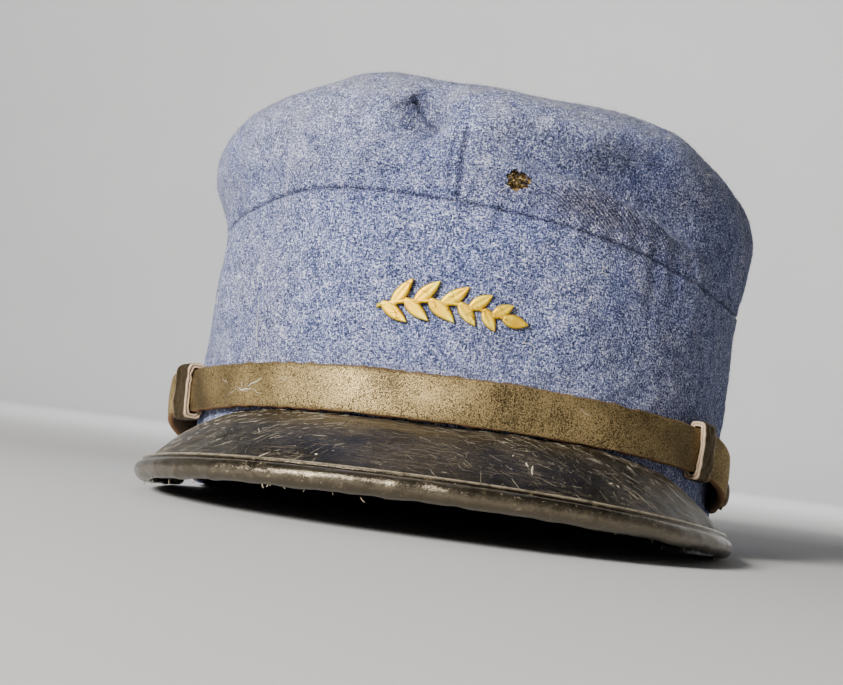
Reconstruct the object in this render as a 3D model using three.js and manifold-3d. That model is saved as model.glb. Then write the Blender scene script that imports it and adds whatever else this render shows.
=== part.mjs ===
// A worn kepi cap: a wool band and crown, a leather peak with a rolled edge, and a chin strap.
// Millimetres, +Z up. The front of the cap faces -Y, and the rear rim rests on Z = 0.
// Angles run round the cap from the front centre (0) towards +X.

import * as THREE from 'three';
import { mergeVertices } from 'three/addons/utils/BufferGeometryUtils.js';
import Module from 'manifold-3d';

const GAP = 0.3;
const CLOTH = 2.2;
const OVAL_POWER = 2.25;
const ROUND_STEPS = 67;
// Share by which the steps round the cap are closer at the front than at the back.
const FRONT_CROWDING = 0.38;
// Half steps, in radians and rows, over which the slopes of the cloth are measured.
const SLOPE_STEP = { angle: 0.02, row: 0.03 };
const HALVINGS = 40;
const WELD = 1e-4;

// Level sections of the cloth, from the rim over the shoulder to the middle of the top.
const SECTIONS = [
  { name: 'rim', halfWidth: 78.5, front: 97.5, back: 98, zFront: 22, zSide: 0, zBack: 0 },
  { name: 'strap', halfWidth: 79.3, front: 99, back: 99, zFront: 36, zSide: 25, zBack: 20 },
  { name: 'middle', halfWidth: 80, front: 99, back: 99, zFront: 60, zSide: 50, zBack: 46 },
  { name: 'seam', halfWidth: 80.8, front: 98.5, back: 98.5, zFront: 82.5, zSide: 74, zBack: 71 },
  { name: 'bulge', halfWidth: 83.2, front: 99.5, back: 100, zFront: 96, zSide: 91, zBack: 87 },
  { name: 'shoulder', halfWidth: 81.2, front: 97.5, back: 97.5, zFront: 107.5, zSide: 103, zBack: 99 },
  { name: 'turn', halfWidth: 75.5, front: 91.5, back: 91.5, zFront: 114, zSide: 110, zBack: 106 },
  { name: 'fold', halfWidth: 67.5, front: 83, back: 83, zFront: 117, zSide: 113, zBack: 109 },
  { name: 'top_seam', halfWidth: 60, front: 75, back: 75, zFront: 116.5, zSide: 112.5, zBack: 109 },
  { name: 'top_edge', halfWidth: 50, front: 62.5, back: 62.5, zFront: 115, zSide: 112, zBack: 109 },
  { name: 'top_middle', halfWidth: 30, front: 38, back: 38, zFront: 112.6, zSide: 111, zBack: 108.6 },
  { name: 'centre', halfWidth: 0, front: 0, back: 0, zFront: 111.5, zSide: 111.5, zBack: 111.5 },
];
const SEAM_ROW = 3;
const TOP_SEAM_ROW = 8;
const CENTRE_ROW = SECTIONS.length - 1;
const BAND_ROWS = [0, 0.6, 1.2, 1.8, 2.4, SEAM_ROW];
const CROWN_ROWS = [SEAM_ROW, 3.3, 3.6, 3.9, 4.25, 4.65, 5, 5.5, 6, 6.5, 7.2, TOP_SEAM_ROW];
const TOP_ROWS = [TOP_SEAM_ROW, 8.35, 8.7, 9.05, 9.5, 10.2];

// Dents and folds of the worn cloth. Each is a soft spot at an angle (degrees) and a row of SECTIONS,
// and its row climbs with the angle by slope. It moves the cloth in towards the axis, and down.
const DENTS = [
  { name: 'right_crease', angle: 36, row: 3.98, angleSpan: 17, rowSpan: 0.36, slope: -0.019, inward: 5 },
  { name: 'right_ridge', angle: 32, row: 3.36, angleSpan: 15, rowSpan: 0.24, slope: -0.012, inward: -1.3 },
  { name: 'shoulder_fold', angle: 30, row: 4.42, angleSpan: 13, rowSpan: 0.3, slope: 0.006, inward: 3 },
  { name: 'right_hollow', angle: 50, row: 3.95, angleSpan: 12, rowSpan: 0.3, slope: -0.01, inward: 2.6 },
  { name: 'right_droop', angle: 66, row: 5.6, angleSpan: 15, rowSpan: 0.9, inward: 2.2, down: 2.4 },
  { name: 'left_waist', angle: -94, row: 3.05, angleSpan: 27, rowSpan: 0.5, inward: 4.2 },
  { name: 'left_bulge', angle: -92, row: 4.2, angleSpan: 26, rowSpan: 0.5, inward: -0.8 },
  { name: 'seam_rise', angle: -24, row: 3, angleSpan: 20, rowSpan: 0.6, down: -3.6 },
  { name: 'seam_sag', angle: 64, row: 3, angleSpan: 28, rowSpan: 0.6, down: 4.2 },
  { name: 'left_hump', angle: -19, row: 7, angleSpan: 11, rowSpan: 1, down: -3.4 },
  { name: 'right_hump', angle: 40, row: 6.6, angleSpan: 12, rowSpan: 1, down: -1.5 },
  {
    name: 'front_dimple', angle: -5.5, row: 5, angleSpan: 3.9, rowSpan: 0.56, slope: 0.03, inward: 6.4,
    down: 0.9,
  },
  { name: 'back_fold', angle: 152, row: 4.3, angleSpan: 20, rowSpan: 0.6, slope: 0.01, inward: 2.2 },
  { name: 'back_sag', angle: -142, row: 5.4, angleSpan: 22, rowSpan: 1, inward: 1.2, down: 2 },
];

// The upright seam at the front of the crown.
const FRONT_SEAM = { halfAngle: 0.55, depth: 0.7, rowLow: 3.1, rowHigh: 4.7, fade: 0.2 };

// Hole in the outer layer of the cloth. Its corners reach in and out by the ragged share, at a beat.
const MOTH_HOLE = {
  angle: 8.6, row: 3.56, width: 6.2, height: 5.2, depth: 1.3, corners: 11, ragged: 0.2, beat: 3.3,
};

const PEAK = {
  thickness: 2.6, halfWidth: 80.5, reach: 142.3, sideY: -46, power: 2.35, cornerRadius: 10, cornerTurn: 35,
  endAngle: 70, zFront: 26.6, zEnd: 6.6, fall: 1.8, zTip: 12.6, zCorner: 4, rise: 1.5, camber: 3.2,
};
const PEAK_STEPS = { along: 40, across: 6, corner: 8, half: 60 };

// Section of the rolled edge: out along the leather and up from its mid-plane.
const BINDING_SECTION = [
  { out: -2.2, up: 2.4 }, { out: 0.4, up: 2.75 }, { out: 2.1, up: 2.0 }, { out: 2.9, up: 0 },
  { out: 2.1, up: -2.0 }, { out: 0.4, up: -2.75 }, { out: -2.2, up: -2.5 },
  { out: -2.2, up: -1.8 }, { out: 0.4, up: -1.8 }, { out: 0.4, up: 1.8 }, { out: -2.2, up: 1.8 },
];

// The strap lies on the band and lifts off it between two angles before its keepers.
const STRAP = {
  thickness: 1.8, width: 12.2, ease: 0.5, zFront: 33.2, zKeeper: 28, keeperAngle: 60, lie: 0.45,
  liftFrom: 22, liftTo: 5,
};
// Each side of the strap: where its keeper and button sit, and how far its tail bows out between them.
const SIDES = [
  { name: 'left', sign: -1, keeperAngle: 61, buttonAngle: 80.5, bow: 5 },
  { name: 'right', sign: 1, keeperAngle: 57, buttonAngle: 79.5, bow: 2.4 },
];
// A tail drops behind its keeper after a lead, bows out, lies flat and tapers to its end.
const TAIL = {
  zEnd: 17.6, endAngle: 86.5, endWidth: 8.4, taper: 4, lead: 3, bowAngle: 67.5, bowSpan: 3.6,
  flatAngle: 75.5,
};
const KEEPER = { length: 8, wall: 1.3, clearance: 0.45, stand: 2.4, corners: 20, ease: 0.3 };
const BUTTON = { radius: 4.9, thickness: 2.8, shankRadius: 1.5, sides: 18, play: 0.4 };
// Face of a button, as shares of its radius and its thickness, from its back edge to its middle.
const BUTTON_FACE = [
  { radius: 0.88, height: 0 }, { radius: 1, height: 0.18 }, { radius: 1, height: 0.35 },
  { radius: 0.86, height: 0.7 }, { radius: 0.5, height: 0.93 }, { radius: 0, height: 1 },
];
const BORE = { below: 1, above: 2 };

// The sprig lies along a bowed stem, with pairs of leaves and one leaf at its tip.
const SPRIG = {
  z: 55, thickness: 0.9, halfLength: 17, bow: 2.6, stemHalf: 0.65, stemTaper: 0.35, stemSteps: 8,
  pairs: 5, firstPair: -0.72, lastPair: 0.78, stagger: 0.16, shrink: 0.07,
  leafLength: 8.2, leafHalf: 1.75, leafLean: 42, tipAt: 0.97, tipLength: 7, tipHeading: -6,
};
// Outline of a leaf, as shares of its length and half width.
const LEAF = [
  { along: -0.1, across: -0.3 }, { along: 0.38, across: -1 }, { along: 0.7, across: -0.72 },
  { along: 1, across: 0 }, { along: 0.7, across: 0.72 }, { along: 0.38, across: 1 },
  { along: -0.1, across: 0.3 },
];

const COLOURS = {
  wool: { color: 0x6d7796, roughness: 0.95, metalness: 0 },
  peakLeather: { color: 0x1b1917, roughness: 0.42, metalness: 0 },
  strapLeather: { color: 0x4a3c2b, roughness: 0.5, metalness: 0 },
  button: { color: 0x5b4a30, roughness: 0.45, metalness: 0.8 },
  gold: { color: 0xd9ab4c, roughness: 0.6, metalness: 0 },
};

const wasm = await Module();
wasm.setup();

const radians = THREE.MathUtils.degToRad;
const clamp = THREE.MathUtils.clamp;
const smooth = THREE.MathUtils.smoothstep;
const bell = (x, span) => Math.exp(-0.5 * (x / span) ** 2);

// Cloth surface

function turnFrom(angle, centre) {
  const turn = angle - radians(centre);
  return THREE.MathUtils.radToDeg(Math.atan2(Math.sin(turn), Math.cos(turn)));
}

function splineValue(row, column) {
  const i = clamp(Math.floor(row), 0, CENTRE_ROW - 1);
  const t = row - i;
  const b = SECTIONS[i][column];
  const c = SECTIONS[i + 1][column];
  const a = i > 0 ? SECTIONS[i - 1][column] : 2 * b - c;
  const d = i < CENTRE_ROW - 1 ? SECTIONS[i + 2][column] : 2 * c - b;
  return b + 0.5 * t * (c - a + t * (2 * a - 5 * b + 4 * c - d + t * (3 * (b - c) + d - a)));
}

function power(value, exponent) {
  return Math.sign(value) * Math.abs(value) ** exponent;
}

function heightAt(angle, front, side, back) {
  const c = Math.cos(angle);
  return c > 0 ? side + (front - side) * c * c : side + (back - side) * c * c;
}

// Outer surface of the cloth at an angle (radians) and a row, with its dents.
function cloth(angle, row) {
  const reach = Math.cos(angle) > 0 ? splineValue(row, 'front') : splineValue(row, 'back');
  const x = Math.max(splineValue(row, 'halfWidth'), 0) * power(Math.sin(angle), 2 / OVAL_POWER);
  const y = -Math.max(reach, 0) * power(Math.cos(angle), 2 / OVAL_POWER);
  const zs = ['zFront', 'zSide', 'zBack'].map((column) => splineValue(row, column));
  const point = new THREE.Vector3(x, y, heightAt(angle, ...zs));
  const plan = Math.hypot(x, y);
  if (plan < 1e-6) return point;
  for (const { angle: centre, row: level, angleSpan, rowSpan, slope = 0, inward = 0, down = 0 } of DENTS) {
    const turn = turnFrom(angle, centre);
    const weight = bell(turn, angleSpan) * bell(row - level - slope * turn, rowSpan);
    const draw = Math.min(inward * weight, plan / 2) / plan;
    point.x -= x * draw;
    point.y -= y * draw;
    point.z -= down * weight;
  }
  const seam = 1 - Math.abs(turnFrom(angle, 0)) / FRONT_SEAM.halfAngle;
  if (seam > 0) {
    const { depth, rowLow, rowHigh, fade } = FRONT_SEAM;
    point.y += depth * seam * smooth(row, rowLow, rowLow + fade) * smooth(-row, -rowHigh, fade - rowHigh);
  }
  return point;
}

function clothAcross(angle, row) {
  const step = SLOPE_STEP.angle;
  return cloth(angle + step, row).sub(cloth(angle - step, row)).normalize();
}

function clothUp(angle, row) {
  const low = Math.max(row - SLOPE_STEP.row, 0);
  const high = Math.min(row + SLOPE_STEP.row, CENTRE_ROW);
  return cloth(angle, high).sub(cloth(angle, low)).normalize();
}

function clothNormal(angle, row) {
  if (row >= CENTRE_ROW) return new THREE.Vector3(0, 0, 1);
  return clothAcross(angle, row).cross(clothUp(angle, row)).normalize();
}

// Row at which the cloth reaches a height on the band.
function rowAtHeight(angle, z) {
  let low = 0;
  let high = SEAM_ROW;
  for (let i = 0; i < HALVINGS; i += 1) {
    const middle = (low + high) / 2;
    if (cloth(angle, middle).z < z) low = middle;
    else high = middle;
  }
  return (low + high) / 2;
}

// Point that stands off the band's outer face at an angle and height.
function offBand(angle, z, stand) {
  const row = rowAtHeight(angle, z);
  const normal = clothNormal(angle, row).setZ(0).normalize();
  return cloth(angle, row).addScaledVector(normal, stand);
}

function roundAngles() {
  const angles = [];
  for (let i = 0; i < ROUND_STEPS; i += 1) {
    const t = (2 * Math.PI * i) / ROUND_STEPS;
    angles.push(t - FRONT_CROWDING * Math.sin(t));
  }
  const edge = radians(FRONT_SEAM.halfAngle);
  return [...angles, edge, 2 * Math.PI - edge].sort((a, b) => a - b);
}

// Mesh building

// Skin over rings of points. A ring of one point is a pole, and joined closes the last ring to the first.
function skin(rings, joined) {
  const points = [];
  const indices = [];
  const starts = rings.map((ring) => points.push(...ring) - ring.length);
  const pairs = joined ? rings.length : rings.length - 1;
  for (let r = 0; r < pairs; r += 1) {
    const next = (r + 1) % rings.length;
    const count = Math.max(rings[r].length, rings[next].length);
    for (let i = 0; i < count; i += 1) {
      const at = (ring, k) => starts[ring] + (k % rings[ring].length);
      const [a, b, c, d] = [at(r, i), at(r, i + 1), at(next, i + 1), at(next, i)];
      const turned = points[b].distanceTo(points[d]) < points[a].distanceTo(points[c]);
      if (a === b) indices.push(a, c, d);
      else if (c === d) indices.push(a, b, c);
      else if (turned) indices.push(a, b, d, b, c, d);
      else indices.push(a, b, c, a, c, d);
    }
  }
  return indexedGeometry(points, indices);
}

function indexedGeometry(points, indices) {
  const geometry = new THREE.BufferGeometry();
  const values = points.flatMap((p) => p.toArray());
  geometry.setAttribute('position', new THREE.Float32BufferAttribute(values, 3));
  geometry.setIndex(indices);
  return outward(geometry);
}

// Turns a closed mesh right side out.
function outward(geometry) {
  const index = geometry.getIndex().array;
  const position = geometry.getAttribute('position');
  const corner = (i) => new THREE.Vector3().fromBufferAttribute(position, index[i]);
  let volume = 0;
  for (let i = 0; i < index.length; i += 3) {
    volume += corner(i).dot(corner(i + 1).cross(corner(i + 2)));
  }
  if (volume < 0) {
    for (let i = 0; i < index.length; i += 3) {
      [index[i + 1], index[i + 2]] = [index[i + 2], index[i + 1]];
    }
  }
  return geometry;
}

// Solid through closed loops of equal length, with both end loops filled from their flat outline.
function loftedSolid(loops, outline) {
  const count = outline.length;
  const last = (loops.length - 1) * count;
  const caps = THREE.ShapeUtils.triangulateShape(outline, []);
  const indices = [];
  for (let r = 0; r < loops.length - 1; r += 1) {
    for (let i = 0; i < count; i += 1) {
      const a = r * count + i;
      const b = r * count + ((i + 1) % count);
      indices.push(a, b, b + count, a, b + count, a + count);
    }
  }
  const clockwise = THREE.ShapeUtils.area(outline) < 0;
  for (const [a, b, c] of caps) {
    indices.push(...(clockwise ? [a, b, c] : [a, c, b]));
    indices.push(...(clockwise ? [last + a, last + c, last + b] : [last + a, last + b, last + c]));
  }
  return indexedGeometry(loops.flat(), indices);
}

function solidOf(geometry) {
  const bare = new THREE.BufferGeometry();
  bare.setAttribute('position', geometry.getAttribute('position'));
  bare.setIndex(geometry.getIndex());
  const merged = mergeVertices(bare, WELD);
  return new wasm.Manifold(new wasm.Mesh({
    numProp: 3,
    vertProperties: new Float32Array(merged.getAttribute('position').array),
    triVerts: new Uint32Array(merged.getIndex().array),
  }));
}

function geometryOf(solid) {
  const mesh = solid.getMesh();
  const geometry = new THREE.BufferGeometry();
  geometry.setAttribute('position', new THREE.Float32BufferAttribute(mesh.vertProperties, 3));
  geometry.setIndex([...mesh.triVerts]);
  return geometry;
}

function piece(name, geometry, look) {
  geometry.computeVertexNormals();
  const mesh = new THREE.Mesh(geometry, new THREE.MeshStandardMaterial(COLOURS[look]));
  mesh.name = name;
  return mesh;
}

// Band, crown and top

// Outer and inner points of the cloth wall round the cap at one row, moved up the wall by rise.
function wallRings(angles, row, rise) {
  const outer = [];
  const inner = [];
  for (const angle of angles) {
    const point = cloth(angle, row).addScaledVector(clothUp(angle, row), rise);
    outer.push(point);
    inner.push(point.clone().addScaledVector(clothNormal(angle, row), -CLOTH));
  }
  return { outer, inner };
}

function levelWith(ring, other) {
  ring.forEach((point, i) => point.setZ(other[i].z));
}

function bandGeometry(angles) {
  const rings = BAND_ROWS.map((row) => wallRings(angles, row, row === SEAM_ROW ? -GAP / 2 : 0));
  levelWith(rings[0].inner, rings[0].outer);
  return skin([...rings.map((r) => r.outer), ...rings.map((r) => r.inner).reverse()], true);
}

function crownGeometry(angles) {
  const rise = { [SEAM_ROW]: GAP / 2, [TOP_SEAM_ROW]: -GAP / 2 };
  const rings = CROWN_ROWS.map((row) => wallRings(angles, row, rise[row] ?? 0));
  const wall = skin([...rings.map((r) => r.outer), ...rings.map((r) => r.inner).reverse()], true);
  return geometryOf(solidOf(wall).subtract(solidOf(mothHole())));
}

function topGeometry(angles) {
  const rings = TOP_ROWS.map((row) => wallRings(angles, row, row === TOP_SEAM_ROW ? GAP / 2 : 0));
  const centre = cloth(0, CENTRE_ROW);
  const under = centre.clone().setZ(centre.z - CLOTH);
  const outer = rings.map((r) => r.outer).reverse();
  return skin([[centre], ...outer, ...rings.map((r) => r.inner), [under]], false);
}

// Ragged plug that opens the outer layer of the crown.
function mothHole() {
  const { angle, row, width, height, depth, corners, ragged, beat } = MOTH_HOLE;
  const at = radians(angle);
  const normal = clothNormal(at, row);
  const across = clothAcross(at, row);
  const up = normal.clone().cross(across);
  const outline = [];
  for (let i = 0; i < corners; i += 1) {
    const turn = (2 * Math.PI * i) / corners;
    const reach = (1 + ragged * Math.sin(beat * i)) / 2;
    outline.push(new THREE.Vector2(width * reach * Math.cos(turn), height * reach * Math.sin(turn)));
  }
  const loops = [-depth, depth].map((level) => outline.map((p) => cloth(at, row)
    .addScaledVector(across, p.x).addScaledVector(up, p.y).addScaledVector(normal, level)));
  return loftedSolid(loops, outline);
}

// Peak and its rolled edge

// Plan outline of the leather from one corner to the other, at even steps along its length.
function peakOutline(steps) {
  const { halfWidth, reach, sideY, cornerRadius, cornerTurn } = PEAK;
  const corner = [];
  for (let i = 1; i <= PEAK_STEPS.corner; i += 1) {
    const turn = radians(cornerTurn * i) / PEAK_STEPS.corner;
    const x = halfWidth - cornerRadius * (1 - Math.cos(turn));
    corner.push(new THREE.Vector2(x, sideY + cornerRadius * Math.sin(turn)));
  }
  const front = [];
  const { half } = PEAK_STEPS;
  for (let i = -half; i <= half; i += 1) {
    const turn = (Math.PI / 2) * (i / half);
    const x = halfWidth * power(Math.sin(turn), 2 / PEAK.power);
    front.push(new THREE.Vector2(x, sideY - (reach + sideY) * Math.cos(turn) ** (2 / PEAK.power)));
  }
  const left = corner.map((p) => new THREE.Vector2(-p.x, p.y)).reverse();
  const path = new THREE.CurvePath();
  const plan = [...left, ...front, ...corner];
  for (let i = 1; i < plan.length; i += 1) path.add(new THREE.LineCurve(plan[i - 1], plan[i]));
  return path.getSpacedPoints(steps);
}

// Top face of the peak: side runs from -1 to 1 across the front, out from 0 at the band to 1 at the edge.
function peakPoint(edge, side, out) {
  const { endAngle, zFront, zEnd, fall, zTip, zCorner, rise, reach, sideY, camber } = PEAK;
  const angle = radians(endAngle) * side;
  const drop = ((1 - Math.cos(angle)) / (1 - Math.cos(radians(endAngle)))) ** fall;
  const inner = offBand(angle, THREE.MathUtils.lerp(zFront, zEnd, drop), GAP);
  const along = clamp((edge.y - sideY) / (-reach - sideY), 0, 1);
  const outer = new THREE.Vector3(edge.x, edge.y, zCorner + (zTip - zCorner) * along ** rise);
  const arch = camber * 4 * out * (1 - out) * (1 - side ** 4);
  return inner.lerp(outer, out).add(new THREE.Vector3(0, 0, arch));
}

function peakGrid() {
  const { along, across } = PEAK_STEPS;
  const outline = peakOutline(along);
  return outline.map((edge, i) => {
    const side = (2 * i) / along - 1;
    const line = [];
    for (let j = 0; j <= across; j += 1) line.push(peakPoint(edge, side, j / across));
    return line;
  });
}

// Unit directions of the peak's face at a grid point: along the edge, outwards and up.
function peakFrame(grid, i, j) {
  const before = grid[Math.max(i - 1, 0)][j];
  const after = grid[Math.min(i + 1, grid.length - 1)][j];
  const along = after.clone().sub(before).normalize();
  const near = grid[i][Math.max(j - 1, 0)];
  const far = grid[i][Math.min(j + 1, grid[i].length - 1)];
  const up = along.clone().cross(far.clone().sub(near)).normalize();
  if (up.z < 0) up.negate();
  const out = up.clone().cross(along).normalize();
  if (out.dot(far.clone().sub(near)) < 0) out.negate();
  return { along, out, up };
}

// The underside hangs straight below the face at the band and square to it at the edge.
function peakGeometry(grid) {
  const loops = grid.map((line, i) => {
    const under = line.map((p, j) => {
      const { up } = peakFrame(grid, i, j);
      const above = new THREE.Vector3(0, 0, 1).lerp(up, j / PEAK_STEPS.across).normalize();
      return p.clone().addScaledVector(above, -PEAK.thickness);
    });
    return [...line, ...under.reverse()];
  });
  const across = PEAK_STEPS.across;
  const outline = [];
  for (let j = 0; j <= across; j += 1) outline.push(new THREE.Vector2(j, 1));
  for (let j = across; j >= 0; j -= 1) outline.push(new THREE.Vector2(j, 0));
  return loftedSolid(loops, outline);
}

function bindingGeometry(grid) {
  const edge = PEAK_STEPS.across;
  const loops = grid.map((line, i) => {
    const { out, up } = peakFrame(grid, i, edge);
    const middle = line[edge].clone().addScaledVector(up, -PEAK.thickness / 2);
    return BINDING_SECTION.map((p) => middle.clone().addScaledVector(out, p.out).addScaledVector(up, p.up));
  });
  return loftedSolid(loops, BINDING_SECTION.map((p) => new THREE.Vector2(p.out, p.up)));
}

// Chin strap, keepers and buttons

function strapHeight(angle) {
  const drop = (1 - Math.cos(angle)) / (1 - Math.cos(radians(STRAP.keeperAngle)));
  return THREE.MathUtils.lerp(STRAP.zFront, STRAP.zKeeper, drop);
}

// Place of the strap on one side: its middle height, its width and how far it stands off the band.
function strapAt(degrees, side) {
  const { keeperAngle, bow } = side;
  const leave = keeperAngle + TAIL.lead;
  const front = strapHeight(radians(Math.min(degrees, leave)));
  const middle = THREE.MathUtils.lerp(front, TAIL.zEnd, smooth(degrees, leave, TAIL.flatAngle));
  const taper = smooth(degrees, TAIL.endAngle - TAIL.taper, TAIL.endAngle);
  const width = THREE.MathUtils.lerp(STRAP.width, TAIL.endWidth, taper);
  const rise = smooth(degrees, keeperAngle - STRAP.liftFrom, keeperAngle - STRAP.liftTo);
  const lift = (KEEPER.stand - STRAP.lie) * rise;
  const settle = 1 - smooth(degrees, TAIL.bowAngle, TAIL.flatAngle);
  const stand = STRAP.lie + lift * settle + bow * bell(degrees - TAIL.bowAngle, TAIL.bowSpan);
  return { middle, width, stand };
}

// Corners of the strap's section, out from its inner face and up from its middle, with eased edges.
function strapSection(width) {
  const half = width / 2;
  const { ease, thickness: face } = STRAP;
  return [
    { out: 0, up: -half }, { out: face - ease, up: -half }, { out: face, up: -half + ease },
    { out: face, up: half - ease }, { out: face - ease, up: half }, { out: 0, up: half }, { out: 0, up: 0 },
  ];
}

function strapLoop(degrees, side) {
  const { middle, width, stand } = strapAt(degrees, side);
  const angle = radians(degrees) * side.sign;
  return strapSection(width).map((p) => offBand(angle, middle + p.up, stand + p.out));
}

function strapGeometry(angles) {
  const [left, right] = SIDES;
  const reach = radians(TAIL.endAngle);
  const signed = angles.map((a) => (a > Math.PI ? a - 2 * Math.PI : a));
  const between = signed.filter((a) => Math.abs(a) < reach - SLOPE_STEP.angle);
  const stations = [-reach, ...between.sort((a, b) => a - b), reach];
  const loops = stations.map((a) => strapLoop(Math.abs(THREE.MathUtils.radToDeg(a)), a < 0 ? left : right));
  const outline = strapSection(TAIL.endWidth).map((p) => new THREE.Vector2(p.out, p.up));
  let strap = solidOf(loftedSolid(loops, outline));
  for (const side of SIDES) strap = strap.subtract(solidOf(shankBore(side)));
  return geometryOf(strap);
}

// Loop of leather round the strap, as a rounded oblong tube that follows the strap.
function keeperGeometry(side) {
  const { length, wall, clearance, corners, ease } = KEEPER;
  const halfTurn = THREE.MathUtils.radToDeg(length / 2 / SECTIONS[1].front);
  const ring = (degrees, grow) => {
    const { middle, width, stand } = strapAt(degrees, side);
    const halfOut = STRAP.thickness / 2 + grow;
    const halfUp = width / 2 + grow;
    const points = [];
    for (let i = 0; i < corners; i += 1) {
      const turn = (2 * Math.PI * (i + 0.5)) / corners;
      const out = halfOut * power(Math.cos(turn), ease);
      const up = halfUp * power(Math.sin(turn), ease);
      points.push(offBand(radians(degrees) * side.sign, middle + up, stand + STRAP.thickness / 2 + out));
    }
    return points;
  };
  const ends = [side.keeperAngle - halfTurn, side.keeperAngle, side.keeperAngle + halfTurn];
  const outer = ends.map((degrees) => ring(degrees, clearance + wall));
  const inner = ends.map((degrees) => ring(degrees, clearance)).reverse();
  return skin([...outer, ...inner], true);
}

// Turned shape on an axis that points out of the band at a side's button.
function turnedAtButton(profile, side) {
  const angle = radians(side.buttonAngle) * side.sign;
  const row = rowAtHeight(angle, TAIL.zEnd);
  const out = clothNormal(angle, row).setZ(0).normalize();
  const shape = new THREE.LatheGeometry(profile, BUTTON.sides);
  shape.deleteAttribute('normal');
  shape.deleteAttribute('uv');
  shape.applyQuaternion(new THREE.Quaternion().setFromUnitVectors(new THREE.Vector3(0, 1, 0), out));
  const foot = cloth(angle, row);
  shape.translate(foot.x, foot.y, foot.z);
  return outward(mergeVertices(shape, WELD));
}

function buttonSeat(side) {
  return strapAt(side.buttonAngle, side).stand + STRAP.thickness;
}

function shankBore(side) {
  const reach = BUTTON.shankRadius + GAP;
  const low = -BORE.below;
  const high = buttonSeat(side) + BORE.above;
  const profile = [[0, low], [reach, low], [reach, high], [0, high]];
  return turnedAtButton(profile.map(([r, h]) => new THREE.Vector2(r, h)), side);
}

function buttonGeometry(side) {
  const { radius, thickness, shankRadius, play } = BUTTON;
  const seat = buttonSeat(side) + play;
  const shank = [[0, GAP], [shankRadius, GAP], [shankRadius, seat]];
  const face = BUTTON_FACE.map((p) => [radius * p.radius, seat + thickness * p.height]);
  return turnedAtButton([...shank, ...face].map(([r, h]) => new THREE.Vector2(r, h)), side);
}

// Emblem

// Outline of one leaf, from its foot round its tip, on a stem point with a heading in degrees.
function leafOutline(foot, heading, length) {
  const along = new THREE.Vector2(1, 0).rotateAround(new THREE.Vector2(), radians(heading));
  const across = new THREE.Vector2(-along.y, along.x);
  return LEAF.map((p) => foot.clone().addScaledVector(along, p.along * length)
    .addScaledVector(across, p.across * SPRIG.leafHalf));
}

// Flat pieces of the sprig: the stem first, then each leaf.
function sprigOutlines() {
  const { halfLength, bow, stemHalf, stemTaper, stemSteps, pairs, firstPair, lastPair } = SPRIG;
  const stem = (t) => new THREE.Vector2(halfLength * t, bow * (1 - t * t));
  const upper = [];
  const lower = [];
  for (let i = 0; i <= stemSteps; i += 1) {
    const t = (2 * i) / stemSteps - 1;
    const half = stemHalf * (1 - (stemTaper * (t + 1)) / 2);
    upper.push(stem(t).add(new THREE.Vector2(0, half)));
    lower.push(stem(t).add(new THREE.Vector2(0, -half)));
  }
  const outlines = [[...lower, ...upper.reverse()]];
  for (let i = 0; i < pairs; i += 1) {
    const t = firstPair + ((lastPair - firstPair) * i) / (pairs - 1);
    const slope = THREE.MathUtils.radToDeg(Math.atan2(-2 * bow * t, halfLength));
    const size = SPRIG.leafLength * (1 - SPRIG.shrink * i);
    outlines.push(leafOutline(stem(t), slope + SPRIG.leafLean, size));
    outlines.push(leafOutline(stem(t - SPRIG.stagger), slope - SPRIG.leafLean, size));
  }
  outlines.push(leafOutline(stem(SPRIG.tipAt), SPRIG.tipHeading, SPRIG.tipLength));
  return outlines;
}

// Lays a flat outline on the front of the band as a thin solid.
function layOnBand(outline) {
  const frontReach = SECTIONS[2].front;
  const level = (stand) => outline.map((p) => offBand(p.x / frontReach, SPRIG.z + p.y, stand));
  return loftedSolid([level(GAP), level(GAP + SPRIG.thickness)], outline);
}

function emblemGeometry() {
  const [stem, ...leaves] = sprigOutlines().map((outline) => solidOf(layOnBand(outline)));
  return geometryOf(leaves.reduce((whole, leaf) => whole.add(leaf), stem));
}

// Assembly

function buildCap() {
  const angles = roundAngles();
  const grid = peakGrid();
  const cap = new THREE.Group();
  cap.add(piece('band', bandGeometry(angles), 'wool'));
  cap.add(piece('crown', crownGeometry(angles), 'wool'));
  cap.add(piece('top', topGeometry(angles), 'wool'));
  cap.add(piece('peak', peakGeometry(grid), 'peakLeather'));
  cap.add(piece('peak_binding', bindingGeometry(grid), 'peakLeather'));
  cap.add(piece('chin_strap', strapGeometry(angles), 'strapLeather'));
  for (const side of SIDES) {
    cap.add(piece(`keeper_${side.name}`, keeperGeometry(side), 'strapLeather'));
    cap.add(piece(`button_${side.name}`, buttonGeometry(side), 'button'));
  }
  cap.add(piece('emblem', emblemGeometry(), 'gold'));
  // The origin is the middle of the footprint, at the level that the cap rests on.
  const box = new THREE.Box3().setFromObject(cap);
  const middle = box.getCenter(new THREE.Vector3());
  cap.position.set(-middle.x, -middle.y, -box.min.z);
  return cap;
}

export default buildCap();
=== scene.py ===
"""The looks of a worn kepi cap: its wool, leather, brass and gold, built around its packed solids.

Shapes are worked out in millimetres on the cap's own axes: the head's middle at the origin, the front
at -Y, +Z up. They go to metres in the packed frame when a mesh is made. Angles run round the cap from
the front (0) towards +X, in degrees in the tables and in radians in the functions.
"""

import math
from types import SimpleNamespace as Sizes

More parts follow.
